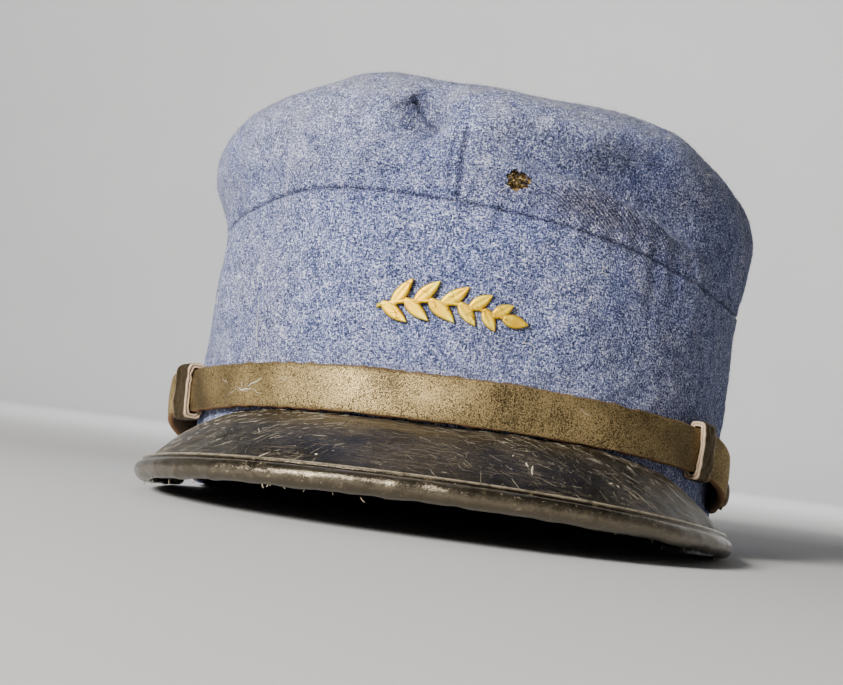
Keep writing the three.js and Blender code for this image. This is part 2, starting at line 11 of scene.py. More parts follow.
import bpy
import numpy as np
from mathutils import Matrix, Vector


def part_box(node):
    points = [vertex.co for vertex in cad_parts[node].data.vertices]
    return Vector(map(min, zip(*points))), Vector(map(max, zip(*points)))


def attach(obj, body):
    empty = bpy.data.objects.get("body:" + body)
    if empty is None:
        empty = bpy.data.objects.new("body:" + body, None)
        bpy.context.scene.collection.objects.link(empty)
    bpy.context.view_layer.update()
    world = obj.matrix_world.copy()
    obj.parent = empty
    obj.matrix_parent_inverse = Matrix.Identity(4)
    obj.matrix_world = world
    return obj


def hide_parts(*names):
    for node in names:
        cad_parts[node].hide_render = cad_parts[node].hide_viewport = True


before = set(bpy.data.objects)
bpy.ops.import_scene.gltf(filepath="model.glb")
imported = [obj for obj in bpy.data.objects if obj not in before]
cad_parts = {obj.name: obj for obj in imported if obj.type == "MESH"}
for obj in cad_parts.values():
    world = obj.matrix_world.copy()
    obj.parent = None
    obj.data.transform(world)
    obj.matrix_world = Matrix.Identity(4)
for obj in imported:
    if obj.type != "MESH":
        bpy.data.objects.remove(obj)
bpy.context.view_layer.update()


def table(columns, *rows):
    """Rows of values under named columns."""
    return [Sizes(**dict(zip(columns.split(), row))) for row in rows]


# Cloth

GAP = 0.3
CLOTH = 2.2
OVAL_POWER = 2.25
ROUND_STEPS = 480
FRONT_CROWDING = 0.38
SECTIONS = table(
    "name half_width front back z_front z_side z_back",
    ("rim", 78.5, 97.5, 98, 22, 0, 0),
    ("strap", 79.3, 99, 99, 36, 25, 20),
    ("middle", 80, 99, 99, 60, 50, 46),
    ("seam", 80.8, 98.5, 98.5, 82.5, 74, 71),
    ("bulge", 83.2, 99.5, 100, 96, 91, 87),
    ("shoulder", 81.2, 97.5, 97.5, 107.5, 103, 99),
    ("turn", 75.5, 91.5, 91.5, 114, 110, 106),
    ("fold", 67.5, 83, 83, 117, 113, 109),
    ("top_seam", 60, 75, 75, 116.5, 112.5, 109),
    ("top_edge", 50, 62.5, 62.5, 115, 112, 109),
    ("top_middle", 30, 38, 38, 112.6, 111, 108.6),
    ("centre", 0, 0, 0, 111.5, 111.5, 111.5),
)
SEAM_ROW = 3
TOP_SEAM_ROW = 8
CENTRE_ROW = len(SECTIONS) - 1
CAD_BAND_ROWS = (0, 0.6, 1.2, 1.8, 2.4, SEAM_ROW)
# Pitch of the outer and inner rows of the walls and of the top's rows, how near the centre these go, and how
# many of them its inner face has one row for.
PITCH = Sizes(wall=0.75, inner=5, top=1.1, centre_gap=0.04, top_inner=6)
# Metres of flat cloth for a radian round the cap.
WEAVE_REACH = 0.09

# Soft spots of the cloth. A spot's row climbs with the angle by slope.
DENTS = table(
    "name angle row angle_span row_span slope inward down",
    ("right_crease", 36, 3.98, 17, 0.36, -0.019, 5, 0),
    ("right_ridge", 32, 3.36, 15, 0.24, -0.012, -1.3, 0),
    ("shoulder_fold", 30, 4.42, 13, 0.3, 0.006, 3, 0),
    ("right_hollow", 50, 3.95, 12, 0.3, -0.01, 2.6, 0),
    ("right_droop", 66, 5.6, 15, 0.9, 0, 2.2, 2.4),
    ("left_waist", -94, 3.05, 27, 0.5, 0, 4.2, 0),
    ("left_bulge", -92, 4.2, 26, 0.5, 0, -0.8, 0),
    ("seam_rise", -24, 3, 20, 0.6, 0, 0, -3.6),
    ("seam_sag", 64, 3, 28, 0.6, 0, 0, 4.2),
    ("left_hump", -19, 7, 11, 1, 0, 0, -3.4),
    ("right_hump", 40, 6.6, 12, 1, 0, 0, -1.5),
    ("front_dimple", -5.5, 5, 3.9, 0.56, 0.03, 6.4, 0.9),
    ("back_fold", 152, 4.3, 20, 0.6, 0.01, 2.2, 0),
    ("back_sag", -142, 5.4, 22, 1, 0, 1.2, 2),
)
FOLDS = table(
    "name angle row angle_span row_span slope height",
    ("right_valley", 26, 3.95, 13, 0.16, -0.013, -3.2),
    ("right_edge", 29, 3.58, 13, 0.12, -0.012, 1.9),
)
DUST = table(
    "angle row angle_span row_span slope weight",
    (30, 6.6, 40, 1.1, 0, 1),
    (-70, 5.4, 34, 1, 0, 1),
    (-6, 7.6, 16, 1.2, 0, 0.7),
    (8, 0.9, 30, 0.25, 0, 0.8),
)
# Spots in the right crease where the cloth's colour is darkened: painted shade.
PAINTED_SHADE_SPOTS = table(
    "angle row angle_span row_span slope weight",
    (28, 4.3, 16, 0.36, 0, 0.45),
    (52, 3.95, 14, 0.4, 0, 0.35),
)
TWILL_WEAR = Sizes(angle=24, row=3.4, angle_span=13, row_span=0.3, slope=0)
CREASES = Sizes(angle=27, row=3.5, angle_span=13, row_span=0.3, slope=0, height=0.26, length=5.2, lean=32)
# The darkening of the cloth's colour along the dimple's fold and in its hollow is painted shade.
DIMPLE_FOLD = Sizes(
    start=(-9.6, 5.55), end=(-3.3, 4.52), depth=1.2, half_width=0.42, soil=1, hollow=1.7, hollow_half=3.4,
    hollow_soil=0.6, step=0.27,
)

# Low relief: soft waves as (height, length, seed), the sunk seams and the pucker beside them.
WAVES = ((0.3, 30, 0), (0.12, 11, 1), (0.05, 4, 2))
# The round seams also darken the cloth's colour along them: painted shade in their grooves.
ROUND_SEAM = Sizes(depth=0.75, half_width=0.4, row_height=17, soil=0.9)
SEAM_CROWD = (-1.6, -1.2, -0.8, -0.4, 0.4, 0.8, 1.2, 1.6)
PUCKER = Sizes(height=0.22, length=8.5, reach=5)
UPRIGHT_SEAMS = table(
    "angle depth half_width row_low row_high front",
    (0.2, 0.85, 0.34, 3, 4.75, True),
    (-1.1, 0.35, 0.35, 3, 4.6, True),
    (180, 0.5, 0.5, 0, 8, False),
)
# How much the upright seams darken the cloth's colour: painted shade in their grooves.
UPRIGHT_PAINTED_SHADE = 1.6
SEAM_STEPS = (-0.55, -0.35, -0.2, -0.08, 0.08, 0.2, 0.35, 0.55)

MOTH_HOLE = Sizes(
    angle=8.6, row=3.56, width=6.2, height=5.2, depth=1.3, corners=34, ragged=0.2, floor=0.94, lead=2.5,
)
MOTH_THREADS = Sizes(
    seed=21, count=26, lean=0.2, lean_spread=0.45, half_width=2.3, half_height=1.8, half=(0.6, 1.5),
    sink=0.85, sink_spread=0.45, arch=0.25, radius=(0.12, 0.3),
)
FUZZ = Sizes(
    root=0.05, radius=0.026, lift=(0.04, 0.75), shortest=0.4, longest=3.2, bend=0.22,
    tone=0.48, tone_spread=0.24,
)
FUZZ_COATS = table(
    "name count low high seed",
    ("band_fuzz", 13000, 0.15, SEAM_ROW, 91),
    ("crown_fuzz", 17000, SEAM_ROW, TOP_SEAM_ROW, 92),
    ("top_fuzz", 4000, TOP_SEAM_ROW, CENTRE_ROW - 0.5, 93),
)
LINT = table(
    "from_angle from_row to_angle to_row sag curl",
    (-38.5, 1.95, -36, 1.35, 1.2, 0.5),
    (25, 2.7, 26.5, 2.5, 0.8, 0.7),
    (12.6, 1.75, 13.8, 1.45, 1.6, 1.6),
    (-4.2, 3.62, -3.2, 3.8, 0.6, 0.4),
    (6.1, 3.25, 6.8, 3.5, 0.9, 0.6),
    (50, 4.9, 51.5, 5.05, 0.5, 0.6),
    (38.6, 5.5, 39.6, 5.6, 0.4, 0.5),
    (-62, 2.2, -60, 2, 0.7, 0.8),
    (100, 2, 103, 2.3, 1, 0.7),
    (165, 3.8, 168, 3.5, 0.8, 0.9),
    (-120, 4.4, -117, 4.2, 0.6, 0.5),
)
LINT_RADIUS = 0.075

# Peak and its rolled edge

PEAK = Sizes(
    thickness=2.6, half_width=80.5, reach=142.3, side_y=-46, power=2.35, corner_radius=10, corner_turn=35,
    end_angle=70, z_front=26.6, z_end=6.6, fall=1.8, z_tip=12.6, z_corner=4, rise=1.5, camber=3.2,
)
PEAK_STEPS = Sizes(along=260, across=44, corner=8, half=60, under=4)
# Worn ends and worn edge at the band, with how far each reaches.
PEAK_WEAR = Sizes(end_reach=1.2, band=0.8, band_reach=0.7)
PEAK_WAVES = ((0.16, 22, 31), (0.07, 7, 32))
ROLL = Sizes(centre=0.4, reach=2.5, height=2.75, slot=1.8, steps=18)
ROLL_WEAR = Sizes(all=0.02, crest=0.1, crest_turn=0.5, crest_span=0.3)
ROLL_WAVES = ((0.13, 11, 41), (0.05, 4.5, 42))
# Corners of the flanges of the rolled edge: out along the leather, up from its mid-plane, and wear.
TOP_FLANGE = (
    (-2.2, 1.8, 0), (-2.4, 2.2, 0.15), (-2.15, 2.62, 0.9), (-1.75, 2.72, 0.7), (-1.35, 2.4, 0),
    (-0.9, 2.1, 0), (-0.5, 2.25, 0.1), (-0.15, 2.6, 0.5),
)
UNDER_FLANGE = ((-0.3, -2.6, 0.3), (-1.2, -2.4, 0.1), (-2.1, -2.5, 0.4), (-2.2, -1.8, 0.2))
FRAYS = Sizes(seed=51, count=34, ends=8, place=(1.2, 2.6), reach=(0.5, 1.7), radius=(0.05, 0.13), wear=0.9)

# Scratches on the peak. side runs along it from the left corner, out from the band to the edge, lean is the
# turn from the edge's own direction towards the band.
MARKS = table(
    "count side lean spread length half_width tone",
    (330, (0.10, 0.45), 40, 15, 2.4, 0.055, (0.2, 1)),
    (190, (0.36, 0.62), 3, 9, 5, 0.035, (0.05, 0.5)),
    (480, (0.50, 0.93), -50, 25, 3.2, 0.04, (0.1, 0.8)),
    (230, (0.10, 0.94), 70, 45, 1.8, 0.035, (0.15, 0.8)),
    (330, (0.10, 0.94), 0, 60, 0.35, 0.09, (0.3, 1)),
)
# Single chips, with their lean in radians.
CHIPS = table(
    "side out lean length half_width tone",
    (0.604, 0.715, -52, 5.5, 0.5, 0.75),
    (0.600, 0.66, -80, 2.6, 0.45, 0.9),
    (0.588, 0.568, -30, 1.4, 0.3, 0.85),
    (0.685, 0.682, 10, 1.6, 0.35, 0.9),
    (0.692, 0.70, -20, 1.2, 0.3, 0.85),
    (0.380, 0.90, 4, 5, 0.22, 1),
    (0.427, 0.841, 0, 0.9, 0.4, 1),
    (0.350, 0.62, 40, 4, 0.14, 0.9),
)
MARK_SEED = 33
MARK_STEPS = 7
MARK_HEIGHT = 0.03

# Chin strap, keepers and buttons

STRAP = Sizes(
    thickness=1.8, width=12.2, z_front=33.2, z_keeper=28, keeper_angle=60, lie=0.45, lift_from=22, lift_to=5,
    camber=0.35, tilt=2.7, tilt_from=50, tilt_to=34, face_share=0.915, top_edge=0.3,
)
STRAP_STEPS = Sizes(along=420, face=14)
STRAP_RAGGED = ((0.12, 5, 61), (0.07, 1.8, 62))
STRAP_WAVES = ((0.09, 15, 63),)
STRAP_SOIL = Sizes(all=0.15, keeper=0.5, most=0.8, from_angle=34, full_angle=56, fade_angle=60, end_angle=66)
STRAP_DIRT = ((0.12, 14, 64),)
STRAP_SCUFFS = table(
    "from_angle from_share to_angle to_share half_width",
    (-36.8, -0.28, -32.8, -0.20, 0.28),
    (-34.6, -0.12, -30.8, 0.25, 0.22),
    (-35.6, -0.20, -36.6, 0.10, 0.12),
    (-40.8, -0.50, -37.6, -0.20, 0.10),
    (-38.2, -0.10, -33.5, -0.35, 0.09),
    (-33.0, -0.20, -29.5, -0.50, 0.10),
    (-44.0, 0.30, -41.5, 0.10, 0.09),
    (-27.0, 0.30, -24.0, 0.20, 0.08),
    (24.0, 0.50, 26.5, 0.20, 0.08),
)
SCUFF_TONE = 0.75
SCUFF_LIFT = 0.1
# Tones of the leather of the strap and of its keepers: dark, pale and raw edge.
STRAP_TONES = ((0.03, 0.021, 0.01), (0.50, 0.365, 0.165), (0.27, 0.155, 0.085))
KEEPER_TONES = ((0.012, 0.009, 0.006), (0.10, 0.072, 0.04), (0.74, 0.57, 0.40))
SIDES = table(
    "name sign keeper_angle button_angle bow",
    ("left", -1, 61, 80.5, 5),
    ("right", 1, 57, 79.5, 2.4),
)
TAIL = Sizes(
    z_end=17.6, end_angle=86.5, end_width=8.4, taper=4, lead=3, bow_angle=67.5, bow_span=3.6, flat_angle=75.5,
)
KEEPER = Sizes(length=8, wall=1.3, clearance=0.45, stand=2.4, ease=0.46, ply_groove=0.3, swell=0.25)
KEEPER_STEPS = Sizes(round=96, along=14)
KEEPER_WAVES = ((0.1, 2.6, 71), (0.08, 6, 72))
BUTTON = Sizes(radius=4.9, thickness=2.8, shank_radius=1.5, sides=56, play=0.4)
BUTTON_WAVES = ((0.05, 4, 81),)
# Profile of a button's face: shares of its radius and of its thickness.
BUTTON_FACE = (
    (0.86, 0), (0.95, 0.03), (1, 0.14), (1, 0.3), (0.96, 0.4), (0.9, 0.42), (0.86, 0.4), (0.82, 0.46),
    (0.74, 0.64), (0.6, 0.82), (0.4, 0.94), (0.2, 0.99),
)

# Sprig

SPRIG = Sizes(
    z=55, thickness=0.9, half_length=17, bow=2.6, stem_half=0.65, stem_taper=0.35, pairs=5, first_pair=-0.72,
    last_pair=0.78, stagger=0.16, shrink=0.07, leaf_length=8.2, leaf_half=1.75, leaf_lean=42, tip_at=0.97,
    tip_length=7, tip_heading=-6,
)
LEAF = Sizes(
    foot=0.06, fullness=0.85, least=0.03, overlap=0.1, edge=0.62, rib=0.2, rib_half=0.1,
    rim_from=0.9, rim=0.5,
)
SPRIG_STEPS = Sizes(leaf=18, leaf_across=10, stem=30, stem_across=7)

# Camera and studio, in the packed frame in metres

CAMERA_PLACE = (0.041806, -0.454222, 0.023175)
CAMERA_RIGHT = (0.98597105, 0.11180919, 0.12393463)
CAMERA_UP = (-0.11583564, -0.07625871, 0.99033667)
LENS = 64.23
SENSOR = 36.0
NEAREST = 0.01
STAGE = Sizes(
    radius=2.0, fillet=0.7, height=2.2, tone=0.66, cloud=0.015, steps=96, fillet_steps=16,
    rings=(0.12, 0.4, 0.8),
)
LIGHTS = table(
    "name place aim size power colour",
    ("key", (-0.62, -0.98, 0.5), (0, 0, 0.06), 0.4, 29.5, (1, 0.97, 0.92)),
    ("fill", (0.9, -0.8, 0.5), (0, 0, 0.06), 0.8, 0.05, (0.95, 0.97, 1)),
    ("top", (-0.2, 0.1, 1.3), (0, 0, 0.06), 0.9, 1.2, (1, 1, 1)),
    ("wash", (0, 0.8, 1.3), (0, 2.6, 0.4), 0.9, 40, (1, 1, 1)),
)
WORLD_TONE = 0.018


def bell(x, span):
    return np.exp(-0.5 * (x / span) ** 2)


def smooth(x, low, high):
    t = np.clip((x - low) / (high - low), 0, 1)
    return t * t * (3 - 2 * t)


def lerp(a, b, t):
    return a + (b - a) * t


def power(value, exponent):
    return np.sign(value) * np.abs(value) ** exponent


def unit(vectors):
    return vectors / np.maximum(np.linalg.norm(vectors, axis=-1, keepdims=True), 1e-9)


def circle(count):
    return np.linspace(0, 2 * np.pi, count, endpoint=False)


def paired(a, b):
    return np.stack(np.broadcast_arrays(a, b), -1)


def run_length(points):
    """Length along a line of points up to each of them."""
    return np.concatenate([[0], np.cumsum(np.linalg.norm(np.diff(points, axis=0), axis=1))])


def ripple(points, length, seed, waves=28):
    """A smooth random field of about unit height and the given wave length."""
    draw = np.random.default_rng(seed)
    direction = unit(draw.normal(size=(waves, 3)))
    number = direction * (2 * np.pi / (length * draw.uniform(0.7, 1.4, (waves, 1))))
    phase = draw.uniform(0, 2 * np.pi, waves)
    return np.sin(points @ number.T + phase).sum(-1) / math.sqrt(waves / 2)


def ripples(points, waves):
    return sum(height * ripple(points, length, seed) for height, length, seed in waves)


# Cloth surface

COLUMNS = {key: np.array([getattr(row, key) for row in SECTIONS]) for key in vars(SECTIONS[0])}
SEAM_REACH = COLUMNS["front"][SEAM_ROW]


def spline(row, column):
    values = COLUMNS[column]
    i = np.clip(np.floor(row).astype(int), 0, CENTRE_ROW - 1)
    t = row - i
    b = values[i]
    c = values[i + 1]
    a = np.where(i > 0, values[np.maximum(i - 1, 0)], 2 * b - c)
    d = np.where(i < CENTRE_ROW - 1, values[np.minimum(i + 2, CENTRE_ROW)], 2 * c - b)
    return b + 0.5 * t * (c - a + t * (2 * a - 5 * b + 4 * c - d + t * (3 * (b - c) + d - a)))


def turn_from(angle, centre):
    turn = angle - math.radians(centre)
    return np.degrees(np.arctan2(np.sin(turn), np.cos(turn)))


def spot(angle, row, place):
    """Weight of a soft spot of the cloth, 1 at its middle."""
    turn = turn_from(angle, place.angle)
    return bell(turn, place.angle_span) * bell(row - place.row - place.slope * turn, place.row_span)


def cloth(angle, row):
    """Outer surface of the cloth with its dents, as the solids have it."""
    angle, row = np.broadcast_arrays(np.asarray(angle, float), np.asarray(row, float))
    c = np.cos(angle)
    reach = np.where(c > 0, spline(row, "front"), spline(row, "back"))
    x = np.maximum(spline(row, "half_width"), 0) * power(np.sin(angle), 2 / OVAL_POWER)
    y = -np.maximum(reach, 0) * power(c, 2 / OVAL_POWER)
    side = spline(row, "z_side")
    z = side + (np.where(c > 0, spline(row, "z_front"), spline(row, "z_back")) - side) * c * c
    plan = np.maximum(np.hypot(x, y), 1e-6)
    inward = np.zeros_like(x)
    for dent in DENTS:
        weight = spot(angle, row, dent)
        inward += np.minimum(dent.inward * weight, plan / 2) / plan
        z = z - dent.down * weight
    return np.stack([x * (1 - inward), y * (1 - inward), z], -1)


def cloth_frame(angle, row):
    """Unit directions on the cloth: across, up its slope and outwards."""
    across = unit(cloth(angle + 0.02, row) - cloth(angle - 0.02, row))
    low = np.maximum(row - 0.03, 0)
    high = np.minimum(row + 0.03, CENTRE_ROW)
    up = unit(cloth(angle, high) - cloth(angle, low))
    return across, up, unit(np.cross(across, up))


ROW_FINE = np.linspace(0, CENTRE_ROW, 441)
HEIGHTS = run_length(cloth(math.radians(50), ROW_FINE))


def height_of(row):
    """Height of a row along the cloth."""
    return np.interp(row, ROW_FINE, HEIGHTS)


def unrolled(angle, row):
    """Flat place on the cloth, in millimetres along and up it."""
    return paired(np.radians(turn_from(angle, 0)) * SEAM_REACH, height_of(row))


def dimple_fold(angle, row, half_width):
    """Weight of the fold in the dimple, 1 along its bottom."""
    start, end = (unrolled(np.radians(a), r) for a, r in (DIMPLE_FOLD.start, DIMPLE_FOLD.end))
    place = unrolled(angle, row) - start
    run = end - start
    share = np.clip(place @ run / (run @ run), 0, 1)
    away = np.linalg.norm(place - share[..., None] * run, axis=-1)
    return bell(away, half_width) * smooth(np.sin(np.pi * share), 0, 0.5)


def folds(angle, row):
    """Height of the soft folds that sharpen the dents."""
    hollow = DIMPLE_FOLD.hollow * dimple_fold(angle, row, DIMPLE_FOLD.hollow_half)
    return sum(fold.height * spot(angle, row, fold) for fold in FOLDS) - hollow


def seam_weight(angle, row, seam):
    """Weight of an upright seam, 1 along its middle."""
    away = np.radians(turn_from(angle, seam.angle)) * SEAM_REACH
    low = smooth(row, seam.row_low, seam.row_low + 0.1)
    high = smooth(-row, -seam.row_high, -seam.row_high + 0.2)
    return bell(away, seam.half_width) * low * high


def relief(angle, row, point):
    """Height of the low relief on the cloth."""
    lift = ripples(point, WAVES)
    arc = angle * SEAM_REACH
    beat = np.sin(2 * np.pi * arc / PUCKER.length + 2 * ripple(point, 40, 11))
    for seam in (SEAM_ROW, TOP_SEAM_ROW):
        away = (row - seam) * ROUND_SEAM.row_height
        lift = lift - ROUND_SEAM.depth * bell(away, ROUND_SEAM.half_width)
        lift = lift + PUCKER.height * beat * bell(away, PUCKER.reach)
    for seam in UPRIGHT_SEAMS:
        lift = lift - seam.depth * seam_weight(angle, row, seam)
    lift = lift - DIMPLE_FOLD.depth * dimple_fold(angle, row, DIMPLE_FOLD.half_width)
    lean = math.radians(CREASES.lean)
    along = arc * math.sin(lean) + point[..., 2] * math.cos(lean)
    crease = np.sin(2 * np.pi * along / CREASES.length + 1.5 * ripple(point, 18, 12))
    return lift + CREASES.height * crease * spot(angle, row, CREASES)


def worn_cloth(angle, row):
    """Points and outward directions of the cloth with its low relief."""
    angle, row = np.broadcast_arrays(np.asarray(angle, float), np.asarray(row, float))
    point = cloth(angle, row)
    out = cloth_frame(angle, row)[2]
    return point + out * (relief(angle, row, point) + folds(angle, row))[..., None], out


def row_at_height(angle, z):
    low = np.zeros(np.broadcast(angle, z).shape)
    high = np.full_like(low, SEAM_ROW)
    for _ in range(30):
        middle = (low + high) / 2
        under = cloth(angle, middle)[..., 2] < z
        low = np.where(under, middle, low)
        high = np.where(under, high, middle)
    return (low + high) / 2


def level(directions):
    """Unit directions without their rise."""
    return unit(directions * np.array([1, 1, 0]))


def off_band(angle, z, stand):
    """Points that stand off the band's outer face at an angle and height."""
    angle, z = np.broadcast_arrays(np.asarray(angle, float), np.asarray(z, float))
    row = row_at_height(angle, z)
    return cloth(angle, row) + level(cloth_frame(angle, row)[2]) * np.asarray(stand)[..., None]


# Mesh building

peak_low, peak_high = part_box("peak")
band_low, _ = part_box("band")
SHIFT = np.array([
    500 * (peak_low.x + peak_high.x),
    1000 * band_low.y + spline(np.array(CAD_BAND_ROWS, float), "front").max(),
    0,
])


def ring_faces(rings, count, joined=False):
    """Quads between rings of equal count. joined also links the last ring to the first."""
    r, i = np.meshgrid(np.arange(rings if joined else rings - 1), np.arange(count), indexing="ij")
    low = r.ravel() * count
    high = (r.ravel() + 1) % rings * count
    i = i.ravel()
    beside = (i + 1) % count
    return np.stack([low + i, low + beside, high + beside, high + i], -1).tolist()


def fan(start, count, tip):
    """Triangles from a ring of points to a tip."""
    return [[start + i, start + (i + 1) % count, tip] for i in range(count)]


def flipped(faces):
    return [face[::-1] for face in faces]


def shifted(faces, start):
    return [[i + start for i in face] for face in faces]


def joined(parts):
    """Several (points, faces) as one."""
    points, faces, start = [], [], 0
    for some_points, some_faces in parts:
        points.append(some_points)
        faces += shifted(some_faces, start)
        start += len(some_points)
    return np.concatenate(points), faces


def add_object(name, data):
    made = bpy.data.objects.new(name, data)
    bpy.context.scene.collection.objects.link(made)
    return made


def add_mesh(name, points, faces, material):
    """An object from points in metres."""
    mesh = bpy.data.meshes.new(name)
    mesh.from_pydata(points.reshape(-1, 3).tolist(), [], faces)
    mesh.materials.append(material)
    return add_object(name, mesh)


def make_piece(name, points, faces, material, slot, nodes=(), values=None, flat=None):
    """A mesh of the cap from points in millimetres. values are numbers on its points, by name."""
    piece = add_mesh(name, (points + SHIFT) / 1000, faces, material)
    mesh = piece.data
    for key, numbers in (values or {}).items():
        layer = mesh.attributes.new(key, "FLOAT", "POINT")
        layer.data.foreach_set("value", np.asarray(numbers, np.float32).ravel())
    if flat is not None:
        loops = np.zeros(len(mesh.loops), np.int32)
        mesh.loops.foreach_get("vertex_index", loops)
        layer = mesh.uv_layers.new(name="UVMap")
        layer.data.foreach_set("uv", np.asarray(flat, np.float32).reshape(-1, 2)[loops].ravel())
    mesh.validate()
    mesh.shade_smooth()
    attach(piece, "root")
    if nodes:
        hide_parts(*nodes)
    return piece


def slivers(starts, headings, bends, lengths, radius):
    """Closed tapered fibres: a foot of three points, a middle of three and a tip each."""
    side = unit(np.cross(headings, np.roll(headings, 1, axis=-1) + 0.01))
    other = np.cross(headings, side)
    spokes = [side * math.cos(t) + other * math.sin(t) for t in (0, 2.0944, 4.18879)]
    middle = starts + headings * (lengths * 0.5)[:, None] + bends * 0.5
    tip = starts + headings * lengths[:, None] - bends * 0.6
    rings = [starts + s * radius for s in spokes] + [middle + s * radius * 0.8 for s in spokes] + [tip]
    base = np.arange(len(starts))[:, None] * len(rings)
    pattern = [(2, 1, 0), (3, 4, 6), (4, 5, 6), (5, 3, 6), (0, 1, 4, 3), (1, 2, 5, 4), (2, 0, 3, 5)]
    return np.stack(rings, 1).reshape(-1, 3), sum(((base + np.array(p)).tolist() for p in pattern), [])


def tube(path, radius, sides=6):
    """A closed round strand along a path of points, with pointed ends."""
    along = unit(np.gradient(path, axis=0))
    side = unit(np.cross(along, np.array([0.3, 0.5, 0.81])))
    other = np.cross(along, side)
    turns = circle(sides)[None, :, None]
    thick = radius * np.clip(np.sin(np.linspace(0, np.pi, len(path))) * 3, 0.15, 1)
    spokes = side[:, None] * np.cos(turns) + other[:, None] * np.sin(turns)
    rings = path[:, None] + thick[:, None, None] * spokes
    last = (len(path) - 1) * sides
    ends = [list(range(sides))[::-1], list(range(last, last + sides))]
    return rings.reshape(-1, 3), ring_faces(len(path), sides) + ends


def ribbons(paths, ups, half_widths):
    """Thin closed streaks with pointed ends on a surface. paths has the shape (streaks, steps, 3)."""
    count, steps, _ = paths.shape
    side = unit(np.cross(ups, unit(np.gradient(paths, axis=1))))
    taper = np.clip(1.5 * np.sin(np.linspace(0, np.pi, steps)), 0.12, 1)
    side = side * half_widths[:, None, None] * taper[None, :, None]
    lift = ups * MARK_HEIGHT
    points = np.stack([paths + side - lift, paths + lift, paths - side - lift], 2)
    last = 3 * steps - 3
    one = ring_faces(steps, 3) + [[2, 1, 0], [last, last + 1, last + 2]]
    faces = sum((shifted(one, start) for start in range(0, count * steps * 3, steps * 3)), [])
    return points.reshape(-1, 3), faces


def lofted(loops):
    """Points and faces of a closed body through loops, shape (loops, count, 3)."""
    count = loops.shape[1]
    last = (len(loops) - 1) * count
    faces = ring_faces(len(loops), count) + [list(range(count))[::-1], list(range(last, last + count))]
    half = len(loops) // 2
    a, b, d = loops[half, 0], loops[half, 1], loops[half + 1, 0]
    if np.dot(np.cross(b - a, d - a), a - loops[half].mean(0)) < 0:
        faces = flipped(faces)
    return loops.reshape(-1, 3), faces


# Materials


class Value:
    """A number or vector worked out by the nodes of a look. Sums and products make more nodes."""

    def __init__(self, look, socket):
        self.look = look
        self.socket = socket

    def __add__(self, other):
        return self.look.maths("ADD", self, other)

    def __sub__(self, other):
        return self.look.maths("SUBTRACT", self, other)

    def __rsub__(self, other):
        return self.look.maths("SUBTRACT", other, self)

    def __mul__(self, other):
        return self.look.maths("MULTIPLY", self, other)


class Look:
    """A material with short calls for its nodes. constants are set on the shader's own sockets."""

    def __init__(self, name, constants):
        self.material = bpy.data.materials.new(name)
        self.material.use_nodes = True
        self.tree = self.material.node_tree
        self.shader = self.tree.nodes["Principled BSDF"]
        for key, value in constants.items():
            self.shader.inputs[key].default_value = value
        self.place = self.node("TexCoord", "Object")
        self.flat = self.node("TexCoord", "UV")

    def node(self, kind, output, inputs=None, **settings):
        made = self.tree.nodes.new("ShaderNode" + kind)
        for key, value in settings.items():
            setattr(made, key, value)
        for key, value in (inputs or {}).items():
            if isinstance(value, Value):
                self.tree.links.new(value.socket, made.inputs[key])
            else:
                made.inputs[key].default_value = value
        return Value(self, made.outputs[output])

    def maths(self, operation, a, b=0.0):
        return self.node("Math", 0, {0: a, 1: b}, operation=operation)

    def mix(self, factor, a, b, blend="MIX"):
        a, b = (c if isinstance(c, Value) else (*c, 1) for c in (a, b))
        return self.node("Mix", 2, {0: factor, 6: a, 7: b}, data_type="RGBA", blend_type=blend)

    def ramp(self, factor, *stops):
        made = self.node("ValToRGB", 0, {0: factor})
        points = made.socket.node.color_ramp.elements
        while len(points) < len(stops):
            points.new(0.5)
        for point, (place, colour) in zip(points, stops):
            point.position = place
            point.color = (*colour, 1)
        return made

    def span(self, value, low, high):
        """0 below low, 1 above high."""
        return self.node("MapRange", 0, {0: value, 1: low, 2: high, 3: 0.0, 4: 1.0})

    def noise(self, scale, detail=2.0, rough=0.5, distortion=0.0, at=None):
        inputs = {"Vector": at or self.place, "Scale": scale, "Detail": detail, "Roughness": rough}
        return self.node("TexNoise", 0, {**inputs, "Distortion": distortion})

    def patches(self, scale, detail, rough, low, high):
        """Patches of 1 with soft edges, 0 between them."""
        return self.span(self.noise(scale, detail, rough), low, high)

    def cells(self, scale):
        """Distance from the borders of random cells."""
        inputs = {"Vector": self.place, "Scale": scale}
        return self.node("TexVoronoi", "Distance", inputs, feature="DISTANCE_TO_EDGE")

    def stretched(self, vector, scale, turn=0.0):
        return self.node("Mapping", 0, {"Vector": vector, "Scale": scale, "Rotation": (0, 0, turn)})

    def value(self, name):
        return self.node("Attribute", "Fac", attribute_name=name)

    def hairlines(self, vector, width):
        """Thin winding lines, 1 on a line."""
        away = self.maths("ABSOLUTE", self.noise(1.0, 1.0, at=vector) - 0.5)
        return 1.0 - self.span(away, 0.0, width)

    def finish(self, colour, rough, height, depth):
        bump = self.node("Bump", 0, {"Strength": 1.0, "Distance": depth, "Height": height})
        for key, value in (("Base Color", colour), ("Roughness", rough), ("Normal", bump)):
            self.tree.links.new(value.socket, self.shader.inputs[key])
        return self.material


